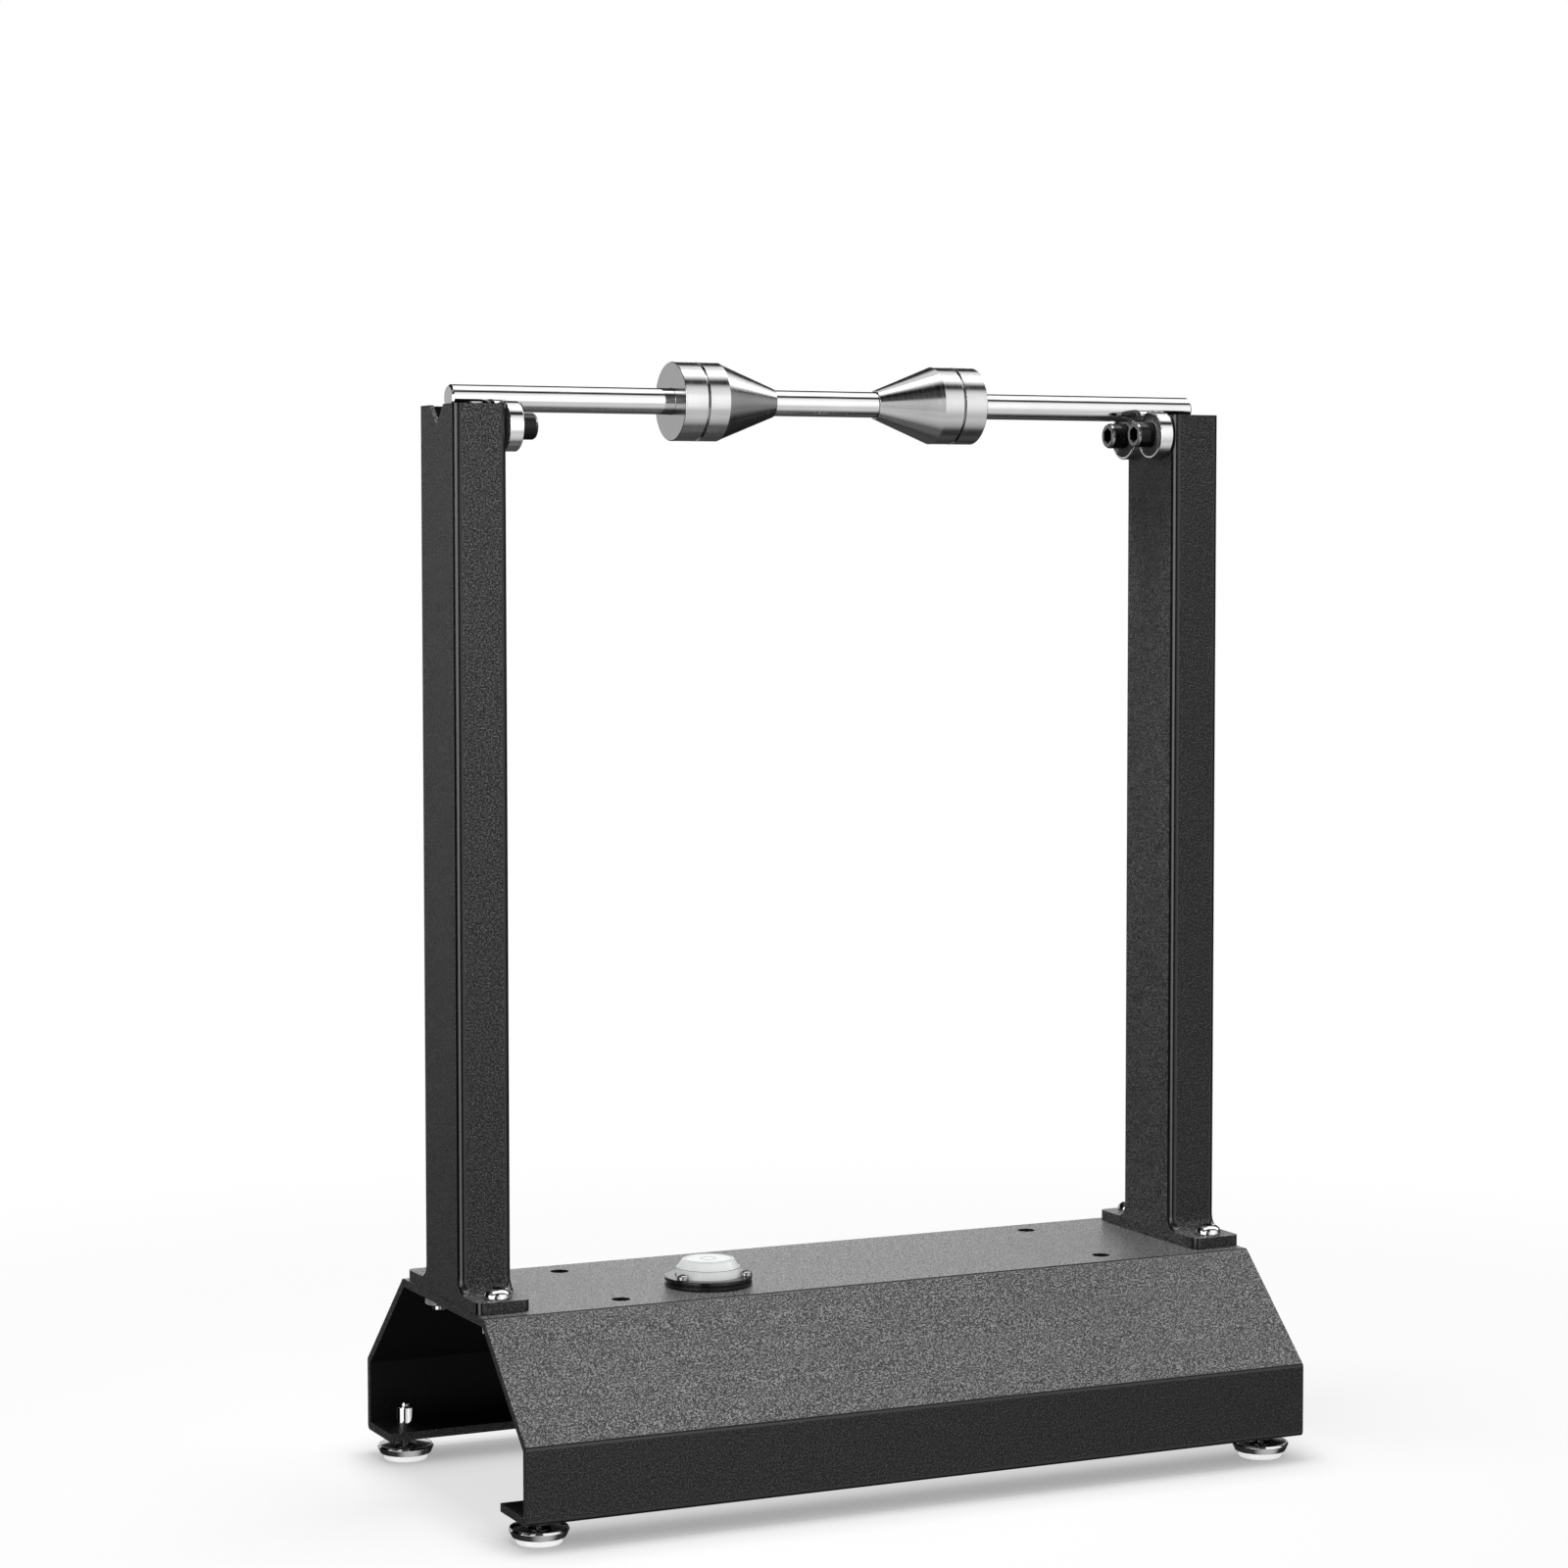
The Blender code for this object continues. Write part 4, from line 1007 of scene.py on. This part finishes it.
def make_bearings():
    ring, seal, cap = bearing_meshes()
    cap_top = max(vertex.co.z for vertex in cap.vertices)
    for corner, end in CORNERS:
        axis = middle_of(f"{corner}_bearing_outer_ring")
        low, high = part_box(f"{corner.split('_')[0]}_post")
        place = (high.x if end < 0 else low.x, axis.y, axis.z)
        turn = (0, -end * QUARTER, 0)
        body = f"{corner}_ring"
        node = f"{corner}_bearing"
        part(f"{corner}_ring_skin", ring, "bright_steel", body, place, turn, [f"{node}_outer_ring"])
        part(f"{corner}_seal_skin", seal, "seal", body, place, turn, [f"{node}_ball_pack"])
        screw = part(f"{corner}_cap_screw", cap, "black_oxide", "stand", place, turn, [f"{node}_screw"])
        # Painted highlight: the chamfered rim of the cap's head gets lighter steel
        refinish(screw, "dull_steel_and_painted_highlight", lambda centre, normal: (
            normal.z > RIM_HIGHLIGHT_LEAST and centre.z > cap_top - CAP_CHAMFER - FINE_EDGE
        ))


def make_shaft():
    low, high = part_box("shaft")
    radius = (high.z - low.z) / 2
    half = (high.x - low.x) / 2
    outline = rounded([
        (0, -half), (radius - SHAFT_CHAMFER, -half, FINE_EDGE), (radius, -half + SHAFT_CHAMFER, SOFT_EDGE),
        (radius, half - SHAFT_CHAMFER, SOFT_EDGE), (radius - SHAFT_CHAMFER, half, FINE_EDGE), (0, half),
    ])
    mesh = turned("shaft_skin", outline, FINE_TURN)
    part("shaft_skin", mesh, "bright_steel", "shaft", (low + high) / 2, (0, QUARTER, 0), ["shaft"])
    return radius


def make_cones(shaft_radius):
    bore = shaft_radius + BORE_CLEARANCE
    for name, end in ENDS:
        low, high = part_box(f"{name}_cone")
        collar_low, collar_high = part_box(f"{name}_collar")
        radius = (high.z - low.z) / 2
        outer_face = collar_low.x if end < 0 else collar_high.x
        collar_length = collar_high.x - collar_low.x
        start = abs((low.x if end < 0 else high.x) - outer_face)
        tip = abs((high.x if end < 0 else low.x) - outer_face)
        waist = radius - GROOVE_DEPTH
        cone = rounded([
            (bore, start), (waist, start), (waist, start + GROOVE_HALF),
            (radius, start + GROOVE_HALF, FINE_EDGE), (radius, start + CONE_LAND, CONE_EDGE),
            (bore + CONE_TIP_WALL, tip, FINE_EDGE), (bore, tip),
        ])
        groove = collar_length - GROOVE_HALF
        collar = rounded([
            (bore, 0, FINE_EDGE), (radius, 0, COLLAR_EDGE), (radius, groove, FINE_EDGE), (waist, groove),
            (waist, collar_length), (bore, collar_length),
        ])
        hole = prism("hole", circle(GRUB_HOLE_RADIUS, SMALL_TURN), 0, radius + OVERRUN)
        hole.transform(Matrix.Rotation(-QUARTER, 4, "X"))
        hole.transform(Matrix.Translation((0, 0, collar_length / 2)))
        collar_mesh = combined(turned("collar_skin", collar, FINE_TURN), hole)
        place = (outer_face, 0, (low.z + high.z) / 2)
        turn = (0, -end * QUARTER, 0)
        for piece, mesh in (("cone", turned("cone_skin", cone, FINE_TURN)), ("collar", collar_mesh)):
            node = f"{name}_{piece}"
            part(f"{node}_skin", mesh, "brushed_steel", f"{name}_cone_set", place, turn, [node])


def make_level():
    low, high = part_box("level_flange")
    axis = middle_of("level_flange")
    place = (axis.x, axis.y, low.z)
    radius = (high.x - low.x) / 2
    height = high.z - low.z
    middle = height / 2
    bore = VIAL_RADIUS + BORE_CLEARANCE
    seat = bore + LEVEL_SEAT_WIDTH
    flange = turned("flange_skin", rounded([
        (seat, 0), (radius, 0, SOFT_EDGE), (radius, middle - LEVEL_RING_GROOVE, FINE_EDGE),
        (radius - LEVEL_GROOVE_DEPTH, middle, FINE_EDGE), (radius, middle + LEVEL_RING_GROOVE, FINE_EDGE),
        (radius, height, LEVEL_EDGE), (bore + LEVEL_MOUTH_WIDTH, height, SOFT_EDGE),
        (bore, height - LEVEL_EDGE, FINE_EDGE), (bore, LEVEL_SEAT_HEIGHT), (seat, LEVEL_SEAT_HEIGHT),
    ]), FINE_TURN)
    for number in LEVEL_SCREWS:
        screw = middle_of(f"level_screw_{number}")
        centre = (screw.x - axis.x, screw.y - axis.y)
        flange = drilled(flange, LEVEL_SCREW_HOLE_RADIUS, centre, -OVERRUN, height + OVERRUN)
    part("flange_skin", flange, "black_plastic", "stand", place, replaced=["level_flange"])

    def add(name, finish, outline, replaced=()):
        mesh = turned(name, rounded(outline), FINE_TURN)
        part(name, mesh, finish, "stand", place, replaced=replaced)

    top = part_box("level_vial")[1].z - low.z
    side_top = top - VIAL_TAPER_HEIGHT
    add("vial_skin", "clear_plastic", [
        (0, VIAL_BOTTOM), (VIAL_RADIUS, VIAL_BOTTOM), (VIAL_RADIUS, side_top, FINE_EDGE),
        (VIAL_RADIUS - VIAL_SHOULDER, side_top + VIAL_SHOULDER_RISE, FINE_EDGE),
        (VIAL_TOP_RADIUS, top, VIAL_TOP_EDGE), (0, top),
    ], ["level_vial", "level_plug"])
    core_radius = VIAL_RADIUS - VIAL_WALL
    core_top = top - VIAL_WALL
    add("vial_core", "vial_fluid", [
        (0, FLUID_BOTTOM), (core_radius, FLUID_BOTTOM), (core_radius, side_top - VIAL_WALL, SOFT_EDGE),
        (VIAL_TOP_RADIUS - VIAL_WALL, core_top, FLUID_EDGE),
        (BUBBLE_RADIUS + BUBBLE_RIM, core_top, FINE_EDGE),
        (BUBBLE_RADIUS, core_top - BUBBLE_RIM, FINE_EDGE), (0, core_top - BUBBLE_DEPTH),
    ])
    add("target_ring", "ink_and_painted_outline", [
        (TARGET_RADIUS, top - TARGET_SUNK), (TARGET_RADIUS + TARGET_LINE, top - TARGET_SUNK),
        (TARGET_RADIUS + TARGET_LINE, top + TARGET_PROUD, TARGET_EDGE),
        (TARGET_RADIUS, top + TARGET_PROUD, TARGET_EDGE),
    ])
    # Painted shade: dark rings at the vial's rim and shoulder stand in for the dark edges of the clear
    # skin
    for name, reach, level in (
        ("vial_rim_line", VIAL_TOP_RADIUS - RIM_LINE_INSET, top - RIM_LINE_DEPTH),
        ("vial_shoulder_line", VIAL_RADIUS - SHOULDER_LINE_INSET, side_top - SHOULDER_LINE_DEPTH),
    ):
        inner = reach - EDGE_LINE_HALF_WIDTH
        outer = reach + EDGE_LINE_HALF_WIDTH
        bottom = level - EDGE_LINE_HALF_HEIGHT
        crest = level + EDGE_LINE_HALF_HEIGHT
        add(name, "ink_and_painted_outline", [
            (inner, bottom), (outer, bottom),
            (outer, crest, EDGE_LINE_ROUNDING), (inner, crest, EDGE_LINE_ROUNDING),
        ])
    for number in LEVEL_SCREWS:
        node = f"level_screw_{number}"
        screw = middle_of(node)
        mesh = pan_screw_mesh(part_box(node)[1].z - high.z, number)
        part(
            f"pan_screw_{number}", mesh, "dull_steel_and_painted_highlight", "stand", (screw.x, screw.y, high.z),
            replaced=[node],
        )


def pan_screw_mesh(top, turned_by):
    """Pan head screw with a cross recess that is turned by an angle. z = 0 is its seat."""
    outline = [(0, -PAN_TIP_LENGTH), (PAN_SHANK_RADIUS, -PAN_SHANK_LENGTH)]
    outline += [(PAN_SHANK_RADIUS, PAN_UNDERSIDE), (PAN_RADIUS, PAN_UNDERSIDE)]
    for step in range(PAN_STEPS + 1):
        turn = QUARTER * step / PAN_STEPS
        across = PAN_FLAT_SHARE + (1 - PAN_FLAT_SHARE) * math.cos(turn)
        rise = PAN_RIM_SHARE + (1 - PAN_RIM_SHARE) * math.sin(turn)
        outline.append((PAN_RADIUS * across, top * rise))
    outline.append((0, top))
    mesh = turned("pan_screw", outline, SMALL_TURN)
    for arm in (0, 1):
        half = CROSS_WIDTH / 2
        corners = [(CROSS_REACH, half), (-CROSS_REACH, half), (-CROSS_REACH, -half), (CROSS_REACH, -half)]
        slot = prism("cross", corners, top - CROSS_DEPTH, top + OVERRUN)
        slot.transform(Matrix.Rotation(QUARTER * arm + turned_by, 4, "Z"))
        mesh = combined(mesh, slot)
    return mesh


# Finish of the nodes by the end of their names. All others are of bright steel
NODE_FINISHES = (
    ("_post", "powder_coat"), ("base_channel", "powder_coat"), ("_nut", "zinc_steel"),
    ("_spacer", "zinc_steel"), ("_cone", "brushed_steel"), ("_collar", "brushed_steel"),
    ("_grub_screw", "black_oxide"), ("_bearing_screw", "black_oxide"), ("_ball_pack", "seal"),
    ("_foot_pad", "nylon"), ("level_flange", "black_plastic"), ("level_vial", "clear_plastic"),
    ("level_plug", "clear_plastic"),
)


def dress_kept_nodes():
    for node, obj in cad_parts.items():
        fitting = [finish for ending, finish in NODE_FINISHES if node.endswith(ending)]
        obj.data.materials.clear()
        obj.data.materials.append(LOOKS[fitting[0] if fitting else "bright_steel"])


# Floor: half its width, its finish, where it fades out, its glow, and its shade by nearness
FLOOR_HALF = 12
FLOOR_GREY = 0.28
FLOOR_ROUGHNESS = 0.9
FLOOR_FADE = (0.25, 1)
FLOOR_GLOW = 0.72
FLOOR_SHADE_REACH = 0.035
FLOOR_SHADE_LEAST = 0.38


def make_floor():
    """Pale floor that keeps the stand's shadow from the lamps, with painted shadow where the stand is
    near, and runs out into plain white.
    """
    bm = bmesh.new()
    bmesh.ops.create_grid(bm, x_segments=4, y_segments=4, size=FLOOR_HALF)
    mesh = bpy.data.meshes.new("floor")
    bm.to_mesh(mesh)
    bm.free()
    floor = added("floor", mesh)
    floor.visible_glossy = False
    floor.visible_diffuse = False
    look = Look("floor", grey(FLOOR_GREY), FLOOR_ROUGHNESS)
    look.set("Specular IOR Level", 0)
    length = look.nodes.new("ShaderNodeVectorMath")
    length.operation = "LENGTH"
    look.feed(length.inputs[0], look.coordinates)
    fade = look.mapped(length.outputs["Value"], *FLOOR_FADE, FLOOR_GLOW, change="SMOOTHSTEP")
    # Painted shadow: the floor's glow is darker where the stand is near
    openness = look.nodes.new("ShaderNodeAmbientOcclusion")
    look.feed(openness.inputs["Distance"], FLOOR_SHADE_REACH)
    white = look.nodes.new("ShaderNodeEmission")
    look.feed(white.inputs["Strength"], look.mapped(openness.outputs["AO"], 0, 1, FLOOR_SHADE_LEAST))
    surface = look.mixed(fade, look.shader.outputs["BSDF"], white.outputs["Emission"])
    look.feed(look.nodes["Material Output"].inputs["Surface"], surface)
    mesh.materials.append(look.material)


# Studio seen in shiny metal, by the angle from the front horizon up over the top, and its light
STUDIO = (
    (-180, 1.8), (-172, 1.2), (-162, 0.06), (-127, 0.09), (-104, 0.08), (-87, 0.03), (-79, 0.06),
    (-71, 0.26), (-64, 0.50), (-45, 0.78), (-32, 0.68), (-9, 1.0), (8, 1.15), (26, 1.15), (38, 1.0),
    (46, 0.6), (51, 0.02), (62, 0.02), (68, 0.6), (75, 1.25), (81, 1.2), (84, 5), (96, 5), (99, 1.2),
    (118, 1.15), (125, 0.5), (129, 0.03), (157, 0.03), (163, 1.8), (180, 1.8),
)
# Its share by the angle from the front round to the right, level with the stand, then lower and higher
AROUND_LEVEL = (
    (-180, 0.5), (-163, 0.5), (-157, 0.7), (-148, 0.7), (-144, 0.02), (-99, 0.02), (-93, 3.5),
    (-51, 3.5), (-45, 0.05), (-22, 0.06), (-16, 0.8), (8, 1), (14, 1.4), (22, 1.5), (28, 1.1),
    (38, 0.9), (57, 0.9), (62, 0.35), (74, 0.35), (80, 0.04), (142, 0.04), (150, 0.75), (165, 0.75),
    (172, 0.5), (180, 0.5),
)
AROUND_SLANTED = (
    (-180, 0.6), (-148, 0.6), (-140, 0.08), (-76, 0.08), (-64, 1), (60, 1), (75, 0.2), (142, 0.2),
    (150, 1), (165, 1), (172, 0.6), (180, 0.6),
)
AROUND_ABOVE = (
    (-180, 0.6), (-148, 0.6), (-140, 0.08), (-76, 0.08), (-64, 1.2), (-42, 1.2), (-36, 0.05),
    (-8, 0.05), (-2, 1.1), (60, 1), (180, 1),
)

# Heights, as shares of a direction, between which one share goes over into the next
SLANTED_FROM = (0.28, 0.38)
ALL_ROUND_FROM = (0.55, 0.8)
OVERHEAD_FROM = (0.85, 0.95)

# The back left is dimmer. Spans along X and Y over which that sets in
BACK_LEFT_LIGHT = 0.45
LEFT_SPAN = (-0.15, 0.15)
BACK_SPAN = (0.3, 0)

# Soft light on matt faces, by its height
SOFT_SPAN = (0, 0.35)
SOFT_BELOW = 0.02
SOFT_ABOVE = 0.3


def make_world():
    """Studio for shiny metal, soft light for matt faces, and plain white for the camera."""
    world = bpy.data.worlds.new("studio")
    bpy.context.scene.world = world
    world.use_nodes = True
    tree = Tree(world.node_tree)
    tree.nodes.clear()
    direction = tree.nodes.new("ShaderNodeSeparateXYZ")
    tree.feed(direction.inputs["Vector"], tree.nodes.new("ShaderNodeTexCoord").outputs["Generated"])
    x, y, z = (direction.outputs[axis] for axis in "XYZ")
    ahead = tree.math("MULTIPLY", y, -1)
    rise = tree.math("ARCTAN2", z, ahead)
    heading = tree.math("ARCTAN2", x, ahead)
    steepness = tree.math("ABSOLUTE", z)

    def by_angle(angle, stops):
        """Light over a full turn. A stop is (degrees, light)."""
        turns = tree.math("ADD", tree.math("MULTIPLY", angle, 1 / math.tau), 0.5)
        return tree.colours(turns, [((degrees + 180) / 360, grey(light)) for degrees, light in stops])

    def blended(first, second, span, height):
        """First below the span of height, second above it."""
        change = tree.math("MULTIPLY", tree.mapped(height, *span), tree.math("SUBTRACT", second, first))
        return tree.math("ADD", first, change)

    def background(strength, colour=(1, 1, 1, 1)):
        node = tree.nodes.new("ShaderNodeBackground")
        tree.feed(node.inputs["Color"], colour)
        tree.feed(node.inputs["Strength"], strength)
        return node.outputs["Background"]

    level = by_angle(heading, AROUND_LEVEL)
    share = blended(level, by_angle(heading, AROUND_SLANTED), SLANTED_FROM, steepness)
    share = blended(share, 1, ALL_ROUND_FROM, steepness)
    share = blended(share, by_angle(heading, AROUND_ABOVE), SLANTED_FROM, z)
    share = blended(share, 1, OVERHEAD_FROM, steepness)
    side = tree.math("MAXIMUM", tree.mapped(x, *LEFT_SPAN, BACK_LEFT_LIGHT), tree.mapped(y, *BACK_SPAN))
    studio = background(tree.math("MULTIPLY", side, share), by_angle(rise, STUDIO))
    soft = background(tree.mapped(z, *SOFT_SPAN, SOFT_BELOW, SOFT_ABOVE))
    rays = tree.nodes.new("ShaderNodeLightPath").outputs
    unseen = tree.mixed(rays["Is Glossy Ray"], soft, studio)
    through = tree.math("MAXIMUM", rays["Is Camera Ray"], rays["Is Transmission Ray"])
    surface = tree.mixed(through, unseen, background(1))
    tree.feed(tree.nodes.new("ShaderNodeOutputWorld").inputs["Surface"], surface)


# Lamps: name, place, target, width and height, watts
LAMPS = (
    ("overhead", (-0.04, 0.02, 1.65), (0, 0, 0.1), (0.5, 0.5), 88),
    ("front_left", (-0.29, -0.32, 0.50), (-0.20, 0, 0.34), (0.2, 0.3), 1.05),
    ("front_low", (-0.34, -0.72, 0.05), (-0.14, 0, 0.03), (0.4, 0.06), 0.62),
)


def make_lights():
    for name, place, target, size, power in LAMPS:
        lamp = bpy.data.lights.new(name, "AREA")
        lamp.shape = "RECTANGLE"
        lamp.size, lamp.size_y = size
        lamp.energy = power
        obj = added(name, lamp)
        obj.location = place
        obj.rotation_euler = (Vector(target) - Vector(place)).to_track_quat("-Z", "Y").to_euler()
        obj.visible_camera = False
        obj.visible_glossy = False
        obj.visible_transmission = False


def make_camera():
    data = bpy.data.cameras.new("camera")
    data.lens = LENS
    data.sensor_width = SENSOR
    data.clip_end = VIEW_END
    camera = added("camera", data)
    camera.location = CAMERA_PLACE
    camera.rotation_euler = CAMERA_TURN
    bpy.context.scene.camera = camera


make_looks()
make_camera()
dress_kept_nodes()
make_base()
make_posts()
make_post_fasteners()
make_feet()
make_bearings()
make_cones(make_shaft())
make_level()
make_floor()
make_world()
make_lights()
bpy.context.scene.view_settings.view_transform = "Standard"
